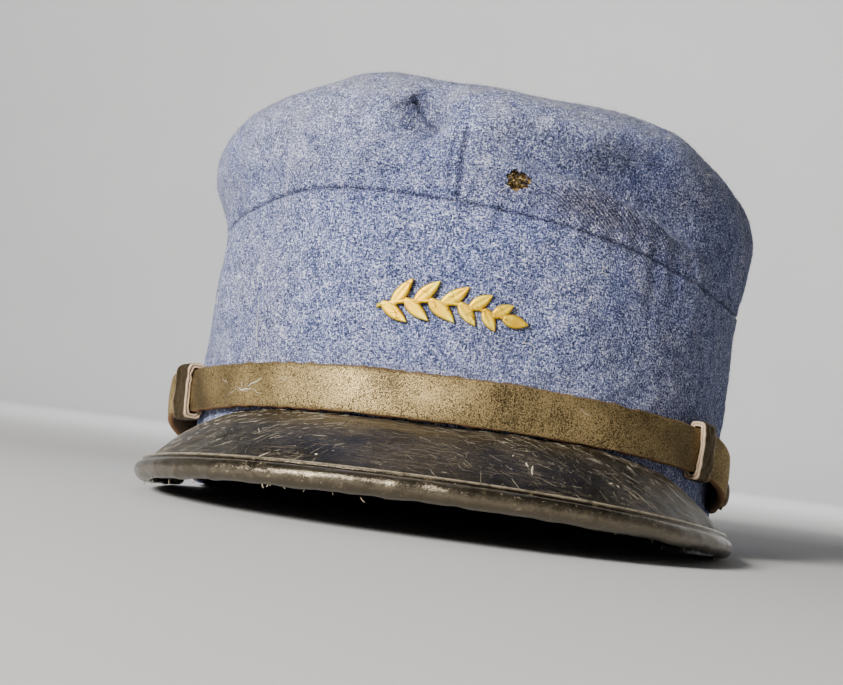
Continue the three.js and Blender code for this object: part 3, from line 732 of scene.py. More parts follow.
def wool_material():
    look = Look("wool", {
        "Sheen Weight": 0.06, "Sheen Roughness": 0.45, "Sheen Tint": (0.8, 0.86, 1, 1),
        "Specular IOR Level": 0.2})
    flecks = look.noise(2300, 3.0, 0.64)
    fibres = look.noise(1.0, 2.0, 0.55, 0.6, look.stretched(look.flat, (800, 3300, 1), 0.5))
    others = look.noise(1.0, 2.0, 0.55, 0.6, look.stretched(look.flat, (3300, 800, 1), 0.3))
    clumps = (look.noise(240, 4.0, 0.62) - 0.5) * 0.14
    blend = flecks * 0.5 + look.maths("MAXIMUM", fibres, others) * 0.5 + clumps
    colour = look.ramp(
        blend, (0.42, (0.014, 0.019, 0.052)), (0.482, (0.060, 0.073, 0.155)), (0.535, (0.172, 0.200, 0.375)),
        (0.58, (0.43, 0.475, 0.74)), (0.63, (0.93, 0.95, 1.0)))
    colour = look.mix(look.patches(42, 4.0, 0.6, 0.42, 0.72), colour, (0.78, 0.82, 0.95), "MULTIPLY")
    colour = look.mix(look.patches(30, 5.0, 0.65, 0.5, 0.68) * 0.7, colour, (1.0, 0.93, 0.84), "MULTIPLY")
    dust = look.value("dust") * look.patches(160, 5.0, 0.7, 0.36, 0.68)
    colour = look.mix(dust * 0.55, colour, (0.40, 0.39, 0.40))
    weave_inputs = {
        "Vector": look.stretched(look.flat, (1, 1, 1), 0.62), "Scale": 330, "Distortion": 1.6, "Detail": 2.0,
        "Detail Scale": 2.0,
    }
    twill = look.node("TexWave", "Fac", weave_inputs, bands_direction="Y")
    worn = look.value("twill")
    ribs = look.mix(twill, (0.42, 0.38, 0.37), (1.15, 1.05, 1.0))
    colour = look.mix(worn, colour, ribs, "MULTIPLY")
    # Darker where the sunk value is high: painted shade in the seams, creases and dimple.
    colour = look.mix(look.value("sunk") * 0.7, colour, (0.25, 0.25, 0.32), "MULTIPLY")
    return look.finish(colour, flecks * 0.2 + 0.82, blend + twill * worn * 0.7, 0.00055)


def fuzz_material():
    look = Look("wool_fuzz", {"Specular IOR Level": 0.2, "Sheen Weight": 0.2, "Sheen Roughness": 0.5})
    tone = look.value("tone") + look.noise(900) * 0.2
    colour = look.ramp(
        tone, (0.1, (0.045, 0.06, 0.15)), (0.45, (0.16, 0.19, 0.33)), (0.75, (0.42, 0.46, 0.58)),
        (1.0, (0.75, 0.76, 0.78)))
    return look.finish(colour, tone * 0.1 + 0.8, tone, 0.00002)


def lint_material():
    look = Look("lint", {"Specular IOR Level": 0.3})
    tone = look.noise(1200)
    colour = look.ramp(tone, (0.3, (0.55, 0.54, 0.50)), (0.7, (0.82, 0.81, 0.77)))
    return look.finish(colour, look.span(tone, -1.0, 1.2), tone, 0.00002)


def thread_material():
    look = Look("moth_threads", {"Specular IOR Level": 0.3})
    tone = look.noise(1100, 3.0, 0.6)
    # Its dark end also lines the moth hole's walls and floor: painted shade on the walls.
    colour = look.ramp(
        tone, (0.40, (0.010, 0.006, 0.002)), (0.54, (0.10, 0.058, 0.012)), (0.68, (0.50, 0.34, 0.10)))
    return look.finish(colour, look.span(tone, -1.0, 1.3), tone, 0.0002)


def peak_material():
    look = Look("peak_leather", {"Specular IOR Level": 0.3, "Specular Tint": (1, 0.93, 0.8, 1)})
    cloud = look.noise(60, 5.0, 0.6)
    colour = look.ramp(
        cloud, (0.35, (0.006, 0.005, 0.004)), (0.6, (0.014, 0.0115, 0.008)), (0.8, (0.034, 0.027, 0.018)))
    brushed = look.hairlines(look.stretched(look.flat, (110, 1900, 1), 0.25), 0.035)
    brushed = brushed * look.patches(90, 3.0, 0.5, 0.42, 0.6)
    colour = look.mix(brushed * 0.4, colour, (0.34, 0.28, 0.20))
    colour = look.mix(look.patches(700, 4.0, 0.7, 0.6, 0.74) * 0.3, colour, (0.17, 0.135, 0.09))
    edge = look.value("wear") * look.patches(500, 4.0, 0.7, 0.3, 0.6)
    colour = look.mix(edge, colour, (0.30, 0.24, 0.16))
    height = look.maths("MINIMUM", look.cells(900), 0.2) + look.noise(1300, 4.0, 0.65) * 0.35
    return look.finish(colour, cloud * 0.35 + brushed * 0.15 + 0.18, height, 0.00016)


def mark_material():
    """Bared leather in scratches and scuffs, paler where a point's tone is higher."""
    look = Look("leather_marks", {"Specular IOR Level": 0.3})
    tone = look.value("tone") + look.noise(800, 3.0) * 0.3
    colour = look.ramp(
        tone, (0.15, (0.045, 0.036, 0.025)), (0.6, (0.24, 0.195, 0.13)), (1.1, (0.72, 0.64, 0.5)))
    return look.finish(colour, look.span(tone, -2.0, 2.0), tone, 0.00002)


def binding_material():
    constants = {"IOR": 1.7, "Specular IOR Level": 0.7, "Specular Tint": (1, 0.84, 0.6, 1)}
    look = Look("binding_leather", constants)
    blot = look.noise(330, 6.0, 0.7)
    colour = look.ramp(
        blot, (0.44, (0.004, 0.003, 0.002)), (0.58, (0.010, 0.008, 0.005)), (0.67, (0.06, 0.044, 0.023)),
        (0.76, (0.26, 0.20, 0.11)))
    # Golden flecks mixed into the colour: partly the leather's pale grain, partly painted glints.
    flecks = look.noise(1.0, 5.0, 0.7, at=look.stretched(look.flat, (500, 900, 1), 0.4))
    flecks = look.span(flecks, 0.63, 0.68)
    colour = look.mix(flecks * 0.6, colour, (0.30, 0.235, 0.14))
    worn = look.value("wear") * look.patches(420, 5.0, 0.7, 0.28, 0.55)
    colour = look.mix(worn, colour, (0.45, 0.38, 0.27))
    return look.finish(colour, blot * 0.36 + 0.02, blot - flecks * 0.15, 0.0003)


def strap_material(name, dark, pale, raw):
    """Grained leather from a dark to a pale brown, with raw edges where a point's edge value is 1."""
    look = Look(name, {"Metallic": 0.55, "Specular IOR Level": 0.35, "Specular Tint": (1, 0.84, 0.6, 1)})
    creases = 1.0 - look.span(look.cells(2500.0), 0.0, 0.25)
    cloud = look.noise(95, 5.0, 0.62)
    grain = look.noise(2600, 2.0, 0.6) - creases * 0.2
    mid = tuple(lerp(a, b, 0.35) for a, b in zip(dark, pale))
    colour = look.ramp(grain + cloud * 0.4, (0.42, dark), (0.56, mid), (0.70, pale))
    colour = look.mix(look.value("dirt"), colour, dark)
    edge = look.value("edge") * look.patches(700, 4.0, 0.7, 0.15, 0.4)
    colour = look.mix(edge, colour, raw)
    return look.finish(colour, cloud * 0.2 + edge * 0.3 + creases * 0.3 + 0.2, grain, 0.0001)


def brass_material():
    look = Look("button_brass", {"Metallic": 0.75, "Specular IOR Level": 0.5})
    tarnish = look.noise(380, 5.0, 0.65)
    colour = look.ramp(
        tarnish, (0.35, (0.05, 0.036, 0.02)), (0.55, (0.20, 0.14, 0.07)), (0.75, (0.46, 0.35, 0.18)))
    lines = look.hairlines(look.stretched(look.place, (900, 200, 900)), 0.03)
    return look.finish(colour, tarnish * 0.4 + 0.3, tarnish - lines * 0.3, 0.00015)


def gold_material():
    look = Look("gold_applique", {"Metallic": 0.85, "Specular IOR Level": 0.4})
    cloud = look.noise(190, 4.0, 0.6)
    colour = look.ramp(cloud, (0.3, (1.0, 0.52, 0.01)), (0.5, (1.0, 0.68, 0.03)), (0.7, (1.0, 0.84, 0.12)))
    cracks = 1.0 - look.span(look.cells(520.0), 0.0, 0.05)
    cracks = cracks * look.patches(330, 2.0, 0.5, 0.45, 0.6)
    colour = look.mix(cracks * 0.7, colour, (0.16, 0.085, 0.02))
    colour = look.mix(look.value("edge"), colour, (0.07, 0.045, 0.018))
    return look.finish(colour, cloud * 0.3 + 0.42, cloud - cracks * 0.5, 0.0002)


def stage_material():
    look = Look("studio_floor", {"Specular IOR Level": 0.15})
    cloud = look.noise(3, 3.0)
    colour = look.ramp(cloud, (0.3, (STAGE.tone - STAGE.cloud,) * 3), (0.7, (STAGE.tone + STAGE.cloud,) * 3))
    return look.finish(colour, look.span(cloud, -6.0, 1.0), cloud, 0.0001)


# Cloth pieces


def round_angles():
    """Angles round the cap, closer at the front and closest beside its upright seams and in its dimple."""
    t = np.linspace(-np.pi, np.pi, ROUND_STEPS, endpoint=False)
    beside = [math.radians(seam.angle + d) for seam in UPRIGHT_SEAMS if seam.front for d in SEAM_STEPS]
    fold = np.radians(np.arange(DIMPLE_FOLD.start[0], DIMPLE_FOLD.end[0], DIMPLE_FOLD.step))
    return np.unique(np.concatenate([t - FRONT_CROWDING * np.sin(t), beside, fold]))


def even_rows(low, high, pitch, crowd=()):
    """Rows about pitch millimetres apart, with closer ones beside the crowded rows."""
    first, last = height_of([low, high])
    heights = np.linspace(first, last, int(round((last - first) / pitch)) + 1)
    close = [height_of(row) + d for row in crowd for d in SEAM_CROWD]
    heights = np.unique(np.concatenate([heights, [h for h in close if first < h < last]]))
    return np.interp(heights, HEIGHTS, ROW_FINE)


def spots(angle, row, places):
    return sum(place.weight * spot(angle, row, place) for place in places)


def cloth_values(angle, row):
    """Dust, bared twill and painted shade in the seams, creases and dimple of the cloth, each from 0 to 1."""
    soil = DIMPLE_FOLD.soil * dimple_fold(angle, row, DIMPLE_FOLD.half_width)
    soil = soil + DIMPLE_FOLD.hollow_soil * dimple_fold(angle, row, DIMPLE_FOLD.hollow_half)
    soil = soil + spots(angle, row, PAINTED_SHADE_SPOTS)
    for seam in (SEAM_ROW, TOP_SEAM_ROW):
        soil = soil + ROUND_SEAM.soil * bell((row - seam) * ROUND_SEAM.row_height, ROUND_SEAM.half_width)
    for seam in UPRIGHT_SEAMS:
        soil = soil + UPRIGHT_PAINTED_SHADE * seam.depth * seam_weight(angle, row, seam)
    dust = np.clip(spots(angle, row, DUST), 0, 1)
    return {"dust": dust, "twill": spot(angle, row, TWILL_WEAR), "sunk": np.clip(soil, 0, 1)}


def cloth_wall(name, node_name, low, high, crowd, material):
    """A closed wall of cloth between two rows."""
    angles = round_angles()
    angle, row = np.meshgrid(angles, even_rows(low, high, PITCH.wall, crowd))
    outer, _ = worn_cloth(angle, row)
    inner_angle, inner_row = np.meshgrid(angles, even_rows(low, high, PITCH.inner))
    inner_out = cloth_frame(inner_angle, inner_row)[2]
    inner = cloth(inner_angle, inner_row) + inner_out * (folds(inner_angle, inner_row) - CLOTH)[..., None]
    if low == 0:
        inner[0, :, 2] = outer[0, :, 2] = cloth(angles, 0)[:, 2]
    rings = np.concatenate([outer, inner[::-1]])
    angle = np.concatenate([angle, inner_angle[::-1]])
    row = np.concatenate([row, inner_row[::-1]])
    faces = ring_faces(len(rings), len(angles), True)
    flat = paired(angle * WEAVE_REACH, height_of(row) / 1000)
    return make_piece(name, rings, faces, material, "wool", [node_name], cloth_values(angle, row), flat)


def cloth_top(material):
    """The closed disc of cloth inside the top seam."""
    rows = even_rows(TOP_SEAM_ROW, CENTRE_ROW - PITCH.centre_gap, PITCH.top, (TOP_SEAM_ROW,))
    angle, row = np.meshgrid(round_angles(), rows)
    outer, out = worn_cloth(angle, row)
    inside = slice(None, None, PITCH.top_inner)
    inner = outer[inside] - out[inside] * CLOTH
    centre = cloth(0.0, CENTRE_ROW)[None]
    rings = np.concatenate([inner[::-1], outer])
    count = angle.shape[1]
    points = np.concatenate([rings.reshape(-1, 3), centre - [[0, 0, CLOTH]], centre])
    bottom, top = len(points) - 2, len(points) - 1
    faces = ring_faces(len(rings), count)
    faces += flipped(fan(0, count, bottom)) + fan((len(rings) - 1) * count, count, top)
    angle = np.append(np.concatenate([angle[inside][::-1], angle]).ravel(), [0, 0])
    row = np.append(np.concatenate([row[inside][::-1], row]).ravel(), [CENTRE_ROW, CENTRE_ROW])
    plan = points[:, :2] / 1000
    return make_piece("top_cloth", points, faces, material, "wool", ["top"], cloth_values(angle, row), plan)


def cut_moth_hole(crown, material):
    """Opens the outer layer of the crown by a ragged plug. Its material goes onto the hole's walls and floor:
    the colour of the layer under it on the floor, painted shade on the walls.
    """
    at, row = math.radians(MOTH_HOLE.angle), MOTH_HOLE.row
    point, out = worn_cloth(at, row)
    across = cloth_frame(at, row)[0]
    up = np.cross(out, across)
    turns = circle(MOTH_HOLE.corners)
    waves = np.sin(3 * turns + 1) + np.sin(7 * turns) + 0.8 * np.sin(13 * turns + 2)
    reach = 1 + MOTH_HOLE.ragged * waves / 2
    flat = across * (MOTH_HOLE.width / 2 * reach * np.cos(turns))[:, None]
    flat = flat + up * (MOTH_HOLE.height / 2 * reach * np.sin(turns))[:, None]
    floor = point + flat * MOTH_HOLE.floor - out * MOTH_HOLE.depth
    rings = np.stack([floor, point + flat + out * MOTH_HOLE.lead])
    count = len(turns)
    faces = ring_faces(2, count) + [list(range(count))[::-1], list(range(count, 2 * count))]
    plug = add_mesh("plug", (rings + SHIFT) / 1000, faces, material)
    cut = crown.modifiers.new("hole", "BOOLEAN")
    cut.operation = "DIFFERENCE"
    cut.object = plug
    cut.solver = "EXACT"
    # The hole's walls and floor take the plug's dark material: painted shade on the walls, the under layer's
    # colour on the floor.
    cut.material_mode = "TRANSFER"
    bpy.context.view_layer.objects.active = crown
    bpy.ops.object.modifier_apply(modifier=cut.name)
    bpy.data.objects.remove(plug)
    return point, across, up, out


def moth_threads(place, material):
    """Frayed threads that show in the moth hole, on the layer under it."""
    point, across, up, out = place
    draw = np.random.default_rng(MOTH_THREADS.seed)
    t = np.linspace(-1, 1, 9)[:, None]
    strands = []
    for i in range(MOTH_THREADS.count):
        lean = draw.normal(MOTH_THREADS.lean, MOTH_THREADS.lean_spread)
        middle = across * draw.uniform(-MOTH_THREADS.half_width, MOTH_THREADS.half_width)
        middle = middle + up * draw.uniform(-MOTH_THREADS.half_height, MOTH_THREADS.half_height)
        heading = across * math.cos(lean) + up * math.sin(lean)
        half = draw.uniform(*MOTH_THREADS.half)
        sink = -MOTH_THREADS.sink + MOTH_THREADS.sink_spread * draw.uniform()
        sink = sink + MOTH_THREADS.arch * (1 - t * t)
        path = point + middle + heading * half * t + up * 0.25 * np.sin(3 * t + i) + out * sink
        strands.append(tube(path, draw.uniform(*MOTH_THREADS.radius)))
    return make_piece("moth_threads", *joined(strands), material, "wool")


def fuzz(coat, material):
    """Loose wool fibres over the cloth between two rows."""
    count = coat.count
    draw = np.random.default_rng(coat.seed)
    t = draw.uniform(0, 2 * np.pi, count)
    angle = t - FRONT_CROWDING * np.sin(t)
    row = np.interp(draw.uniform(*height_of([coat.low, coat.high]), count), HEIGHTS, ROW_FINE)
    point, out = worn_cloth(angle, row)
    across, up, _ = cloth_frame(angle, row)
    spin = draw.uniform(0, 2 * np.pi, count)[:, None]
    lift = draw.uniform(*FUZZ.lift, count)[:, None] ** 1.5
    heading = unit((across * np.cos(spin) + up * np.sin(spin)) * (1 - lift) + out * (0.05 + lift))
    length = np.clip(draw.lognormal(0.1, 0.45, count), FUZZ.shortest, FUZZ.longest)
    bend = unit(draw.normal(size=(count, 3))) * (FUZZ.bend * length)[:, None]
    bend += out * np.maximum(0, -(bend * out).sum(-1, keepdims=True))
    points, faces = slivers(point - out * FUZZ.root, heading, bend, length, FUZZ.radius)
    tone = np.clip(draw.normal(FUZZ.tone, FUZZ.tone_spread, count), 0, 1)
    tones = np.repeat(tone, len(points) // count)
    return make_piece(coat.name, points, faces, material, "wool", values={"tone": tones})


def lint(material):
    """Single pale hairs caught on the cloth."""
    t = np.linspace(0, 1, 22)
    strands = []
    for i, hair in enumerate(LINT):
        angle = np.radians(lerp(hair.from_angle, hair.to_angle, t))
        row = lerp(hair.from_row, hair.to_row, t)
        point, out = worn_cloth(angle, row)
        across, up, _ = cloth_frame(angle, row)
        swing = hair.sag * np.sin(np.pi * t) + hair.curl * np.sin(7 * t + i)
        path = point + across * swing[:, None] + up * (hair.curl * np.cos(6 * t + i))[:, None]
        strands.append(tube(path + out * (0.15 + 0.35 * np.sin(np.pi * t))[:, None], LINT_RADIUS))
    return make_piece("lint_hairs", *joined(strands), material, "wool")


# Peak


def peak_outline():
    """The peak's edge in plan at even steps, and the length along it."""
    turns = np.radians(PEAK.corner_turn) * np.arange(1, PEAK_STEPS.corner + 1) / PEAK_STEPS.corner
    radius = PEAK.corner_radius
    corner = paired(PEAK.half_width - radius * (1 - np.cos(turns)), PEAK.side_y + radius * np.sin(turns))
    half = PEAK_STEPS.half
    turn = np.pi / 2 * np.arange(-half, half + 1) / half
    x = PEAK.half_width * power(np.sin(turn), 2 / PEAK.power)
    y = PEAK.side_y - (PEAK.reach + PEAK.side_y) * np.abs(np.cos(turn)) ** (2 / PEAK.power)
    plan = np.concatenate([(corner * [-1, 1])[::-1], paired(x, y), corner])
    length = run_length(plan)
    even = np.linspace(0, length[-1], PEAK_STEPS.along + 1)
    return paired(np.interp(even, length, plan[:, 0]), np.interp(even, length, plan[:, 1])), even


def peak_grid():
    """Top face of the peak: lines across the front, each from the band out to the edge."""
    edge, length = peak_outline()
    side = np.linspace(-1, 1, len(edge))
    end = math.radians(PEAK.end_angle)
    drop = ((1 - np.cos(end * side)) / (1 - math.cos(end))) ** PEAK.fall
    inner = off_band(end * side, lerp(PEAK.z_front, PEAK.z_end, drop), np.full(len(side), GAP))
    along = np.clip((edge[:, 1] - PEAK.side_y) / (-PEAK.reach - PEAK.side_y), 0, 1)
    outer = np.column_stack([edge, lerp(PEAK.z_corner, PEAK.z_tip, along ** PEAK.rise)])
    out = np.linspace(0, 1, PEAK_STEPS.across + 1)
    grid = lerp(inner[:, None], outer[:, None], out[None, :, None])
    grid[..., 2] += PEAK.camber * 4 * (out * (1 - out))[None] * (1 - side ** 4)[:, None]
    return grid, length


def grid_frames(grid):
    """Unit directions on the peak: along its edge, out from the band and up."""
    along = unit(np.gradient(grid, axis=0))
    across = np.gradient(grid, axis=1)
    up = unit(np.cross(along, across))
    up *= np.where(up[..., 2:] < 0, -1, 1)
    out = unit(np.cross(up, along))
    out *= np.where((out * across).sum(-1, keepdims=True) < 0, -1, 1)
    return along, out, up


def peak_top(grid):
    """The top face with its soft waves, and its outward directions."""
    up = grid_frames(grid)[2]
    t = np.linspace(0, 1, grid.shape[1])
    calm = smooth(t, 0, 0.08) * smooth(1 - t, 0, 0.08)
    return grid + up * (ripples(grid, PEAK_WAVES) * calm)[..., None], up


def on_grid(grid, side, out):
    """Points of a grid at shares of its two directions."""
    a = np.clip(side, 0, 1) * (grid.shape[0] - 1)
    b = np.clip(out, 0, 1) * (grid.shape[1] - 1)
    i = np.minimum(a.astype(int), grid.shape[0] - 2)
    j = np.minimum(b.astype(int), grid.shape[1] - 2)
    u = (a - i)[..., None]
    v = (b - j)[..., None]
    return lerp(lerp(grid[i, j], grid[i + 1, j], u), lerp(grid[i, j + 1], grid[i + 1, j + 1], u), v)


def peak_marks(grid, material):
    """Scratches, chips and specks on the varnish of the peak."""
    top, up = peak_top(grid)
    wide = run_length(grid[:, -1])[-1]
    deep = np.linalg.norm(grid[len(grid) // 2, -1] - grid[len(grid) // 2, 0])
    steps = np.linspace(-0.5, 0.5, MARK_STEPS)
    draw = np.random.default_rng(MARK_SEED)
    groups = []
    for kind in MARKS:
        count = kind.count
        side = draw.uniform(*kind.side, count)
        out = draw.uniform(0.04, 0.95, count)
        lean = np.radians(draw.normal(kind.lean, kind.spread, count))
        length = kind.length * draw.lognormal(0, 0.45, count)
        half = kind.half_width * draw.uniform(0.6, 1.5, count)
        groups.append((side, out, lean, length, half, draw.uniform(*kind.tone, count)))
    groups += [[np.array([value], float) for value in vars(chip).values()] for chip in CHIPS]
    side, out, lean, length, half, tone = (np.concatenate(column) for column in zip(*groups))
    bend = draw.normal(0, 0.12, len(side))[:, None] * steps ** 2 * length[:, None]
    run = length[:, None] * steps
    cos, sin = np.cos(lean)[:, None], np.sin(lean)[:, None]
    a = side[:, None] + (run * cos - bend * sin) / wide
    b = np.clip(out[:, None] - (run * sin + bend * cos) / deep, 0.03, 0.96)
    points, faces = ribbons(on_grid(top, a, b), unit(on_grid(up, a, b)), half)
    tones = np.repeat(tone, len(points) // len(tone))
    return make_piece("peak_marks", points, faces, material, "peak_leather", values={"tone": tones})


def peak_leather(grid, length, material):
    """The closed sheet of the peak, worn at its ends and along the band."""
    top, up = peak_top(grid)
    t = np.linspace(0, 1, grid.shape[1])
    square = unit(lerp(np.array([0, 0, 1.0]), up, t[None, :, None]))
    inside = slice(None, None, -PEAK_STEPS.under)
    under = grid - square * PEAK.thickness
    points, faces = lofted(np.concatenate([top, under[:, inside]], 1))
    from_end = np.minimum(length, length[-1] - length)[:, None]
    from_band = np.linalg.norm(grid - grid[:, :1], axis=-1)
    ends = np.exp(-from_end / PEAK_WEAR.end_reach)
    wear = np.maximum(ends, PEAK_WEAR.band * np.exp(-from_band / PEAK_WEAR.band_reach))
    flat = paired(length[:, None], from_band) / 1000
    wear = np.concatenate([wear, 0 * wear[:, inside]], 1)
    flat = np.concatenate([flat, flat[:, inside]], 1)
    return make_piece("peak_leather", points, faces, material, "peak_leather", ["peak"], {"wear": wear}, flat)


def binding_section():
    """Corners of the rolled edge as (out, up, wear), from the middle of the leather's edge."""
    turns = np.linspace(np.pi / 2, -np.pi / 2, ROLL.steps)
    wear = ROLL_WEAR.all + ROLL_WEAR.crest * bell(turns - ROLL_WEAR.crest_turn, ROLL_WEAR.crest_span)
    roll = np.stack([ROLL.centre + ROLL.reach * np.cos(turns), ROLL.height * np.sin(turns), wear], -1)
    slot = [(ROLL.centre, -ROLL.slot, 0), (ROLL.centre, ROLL.slot, 0)]
    return np.concatenate([TOP_FLANGE, roll, UNDER_FLANGE, slot])


def peak_binding(grid, length, material):
    _, out, up = (d[:, None, -1] for d in grid_frames(grid))
    middle = grid[:, None, -1] - up * PEAK.thickness / 2
    section = binding_section()
    away, rise = section[None, :, :1], section[None, :, 1:2]
    loops = middle + out * away + up * rise
    radial = unit(out * (away - ROLL.centre) + up * rise)
    swell = ripples(loops, ROLL_WAVES) * smooth(section[:, 0], 0.2, 1.4)
    loops = loops + radial * swell[..., None]
    points, faces = lofted(loops)
    wear = np.broadcast_to(section[:, 2], loops.shape[:2])
    flat = paired(length[:, None], run_length(section[:, :2])[None]) / 1000
    nodes = ["peak_binding"]
    return make_piece("peak_edge", points, faces, material, "binding_leather", nodes, {"wear": wear}, flat)


def binding_frays(grid, material):
    """Curled slivers of leather that have come loose under the rolled edge."""
    _, out, up = (d[:, -1] for d in grid_frames(grid))
    draw = np.random.default_rng(FRAYS.seed)
    t = np.linspace(0, 1, 10)[:, None]
    strands = []
    for i in draw.integers(FRAYS.ends, len(grid) - FRAYS.ends, FRAYS.count):
        foot = grid[i, -1] - up[i] * (PEAK.thickness / 2 + draw.uniform(*FRAYS.place))
        foot = foot + out[i] * draw.uniform(*FRAYS.place)
        side = unit(grid[i + 1, -1] - grid[i, -1])
        reach = draw.uniform(*FRAYS.reach)
        path = foot + (out[i] * 0.5 - up[i] * 0.55) * reach * t + side * reach * draw.uniform(-1, 1) * t * t
        strands.append(tube(path, draw.uniform(*FRAYS.radius)))
    points, faces = joined(strands)
    wear = np.full(len(points), FRAYS.wear)
    return make_piece("edge_frays", points, faces, material, "binding_leather", values={"wear": wear})


# Strap, keepers and buttons


def strap_height(degrees):
    drop = (1 - np.cos(np.radians(degrees))) / (1 - math.cos(math.radians(STRAP.keeper_angle)))
    return lerp(STRAP.z_front, STRAP.z_keeper, drop)


def strap_at(degrees, side):
    """The strap's middle height, its width and how far it stands off the band."""
    leave = side.keeper_angle + TAIL.lead
    front = strap_height(np.minimum(degrees, leave))
    middle = lerp(front, TAIL.z_end, smooth(degrees, leave, TAIL.flat_angle))
    width = lerp(STRAP.width, TAIL.end_width, smooth(degrees, TAIL.end_angle - TAIL.taper, TAIL.end_angle))
    rise = smooth(degrees, side.keeper_angle - STRAP.lift_from, side.keeper_angle - STRAP.lift_to)
    settle = 1 - smooth(degrees, TAIL.bow_angle, TAIL.flat_angle)
    stand = STRAP.lie + (KEEPER.stand - STRAP.lie) * rise * settle
    return middle, width, stand + side.bow * bell(degrees - TAIL.bow_angle, TAIL.bow_span)


def strap_tilt(degrees):
    """How far the strap's lower edge leans out over the peak."""
    return STRAP.tilt * smooth(-np.abs(degrees), -STRAP.tilt_from, -STRAP.tilt_to)


def strap_scuffs(material):
    """Pale scuffs across the strap's outer face."""
    t = np.linspace(0, 1, MARK_STEPS)
    paths = []
    for scuff in STRAP_SCUFFS:
        degrees = lerp(scuff.from_angle, scuff.to_angle, t)
        share = lerp(scuff.from_share, scuff.to_share, t) + 0.03 * np.sin(9 * t + degrees)
        middle, width, stand = strap_at(np.abs(degrees), SIDES[int(degrees[0] > 0)])
        away = stand + STRAP.thickness + STRAP.camber * (1 - share ** 2)
        away = away + strap_tilt(degrees) * (1 - share) / 2
        paths.append(off_band(np.radians(degrees), middle + width / 2 * share, away + SCUFF_LIFT))
    paths = np.array(paths)
    points, faces = ribbons(paths, level(paths), np.array([scuff.half_width for scuff in STRAP_SCUFFS]))
    tone = np.full(len(points), SCUFF_TONE)
    return make_piece("strap_scuffs", points, faces, material, "strap_leather", values={"tone": tone})


def strap_section():
    """Corners as (out, share of half width, edge value), out from the inner face."""
    face = STRAP.thickness
    shares = np.linspace(-1, 1, STRAP_STEPS.face)
    outer = [(face + STRAP.camber * (1 - s * s), STRAP.face_share * s, 0) for s in shares]
    low = [(0, -0.97, 0.8), (0.35, -1, 1), (face * 0.5, -1, 1), (face - 0.12, -0.95, 1)]
    high = [(o, -s, STRAP.top_edge * e) for o, s, e in reversed(low)]
    inner = [(0, s, 0.2) for s in (0.6, 0.2, -0.2, -0.6)]
    return np.array(low + outer + high + inner)


def chin_strap(material):
    degrees = np.linspace(-TAIL.end_angle, TAIL.end_angle, STRAP_STEPS.along + 1)[:, None]
    parts = [strap_at(np.abs(degrees), side) for side in SIDES]
    middle, width, stand = (np.where(degrees < 0, a, b) for a, b in zip(*parts))
    section = strap_section()
    out, share, edge = section.T
    z = middle + width / 2 * share
    loops = off_band(np.radians(degrees) + 0 * z, z, stand + out + strap_tilt(degrees) * (1 - share) / 2)
    loops[..., 2] += ripples(loops, STRAP_RAGGED) * (np.abs(share) > 0.95)
    loops += level(loops) * (ripples(loops, STRAP_WAVES) * (out > 1))[..., None]
    points, faces = lofted(loops)
    off = np.abs(degrees)
    near_keeper = smooth(off, STRAP_SOIL.from_angle, STRAP_SOIL.full_angle)
    near_keeper = near_keeper * smooth(-off, -STRAP_SOIL.end_angle, -STRAP_SOIL.fade_angle)
    dirt = STRAP_SOIL.all + STRAP_SOIL.keeper * near_keeper + ripples(loops, STRAP_DIRT)
    edge = np.broadcast_to(edge, loops.shape[:2])
    values = {"edge": edge, "dirt": np.clip(dirt * (1 - edge), 0, STRAP_SOIL.most)}
    flat = paired(np.radians(degrees) * 0.1, (z - middle) / 1000)
    return make_piece("strap_leather", points, faces, material, "strap_leather", ["chin_strap"], values, flat)


def keeper(side, material):
    """A folded loop of leather round the strap, with two plies at its raw edges."""
    reach = COLUMNS["front"][1]
    half_turn = math.degrees(KEEPER.length / 2 / reach)
    groove = math.degrees(KEEPER.ply_groove / reach)
    turns = circle(KEEPER_STEPS.round)
    inner = KEEPER.clearance
    outer = inner + KEEPER.wall
    shares = np.linspace(-1, 1, KEEPER_STEPS.along)
    rings, edges = [], []

    def add_ring(turn, grow, edge):
        degrees = side.keeper_angle + turn
        middle, width, stand = strap_at(np.array(degrees), side)
        half = STRAP.thickness / 2
        away = stand + half + (half + grow) * power(np.cos(turns), KEEPER.ease)
        z = middle + (width / 2 + grow) * power(np.sin(turns), KEEPER.ease)
        rings.append(off_band(np.full(len(turns), math.radians(degrees) * side.sign), z, away))
        edges.append(edge)

    def add_plies(sign, order):
        for share in order:
            seam = share == 0.5
            sunk = groove * (1.0 if seam else -0.4)
            add_ring(sign * (half_turn - sunk), lerp(inner, outer, share), 0.15 if seam else 1.0)

    for s in shares:
        add_ring(half_turn * s, outer + KEEPER.swell * (1 - s ** 6), 0.9 if abs(s) > 0.99 else 0.0)
    add_plies(1, (0.68, 0.5, 0.32))
    for s in shares:
        add_ring(-half_turn * s, inner, 0.8 if abs(s) > 0.99 else 0.0)
    add_plies(-1, (0.32, 0.5, 0.68))
    rings = np.array(rings)
    rings = rings + level(rings) * ripples(rings, KEEPER_WAVES)[..., None]
    faces = ring_faces(len(rings), len(turns), True)
    if side.sign < 0:
        faces = flipped(faces)
    edge = np.repeat(np.array(edges)[:, None], len(turns), 1)
    flat = paired(np.linspace(0, 0.02, len(rings))[:, None], turns[None] * 0.006)
    name = f"keeper_loop_{side.name}"
    nodes = [f"keeper_{side.name}"]
    return make_piece(name, rings, faces, material, "strap_leather", nodes, {"edge": edge}, flat)


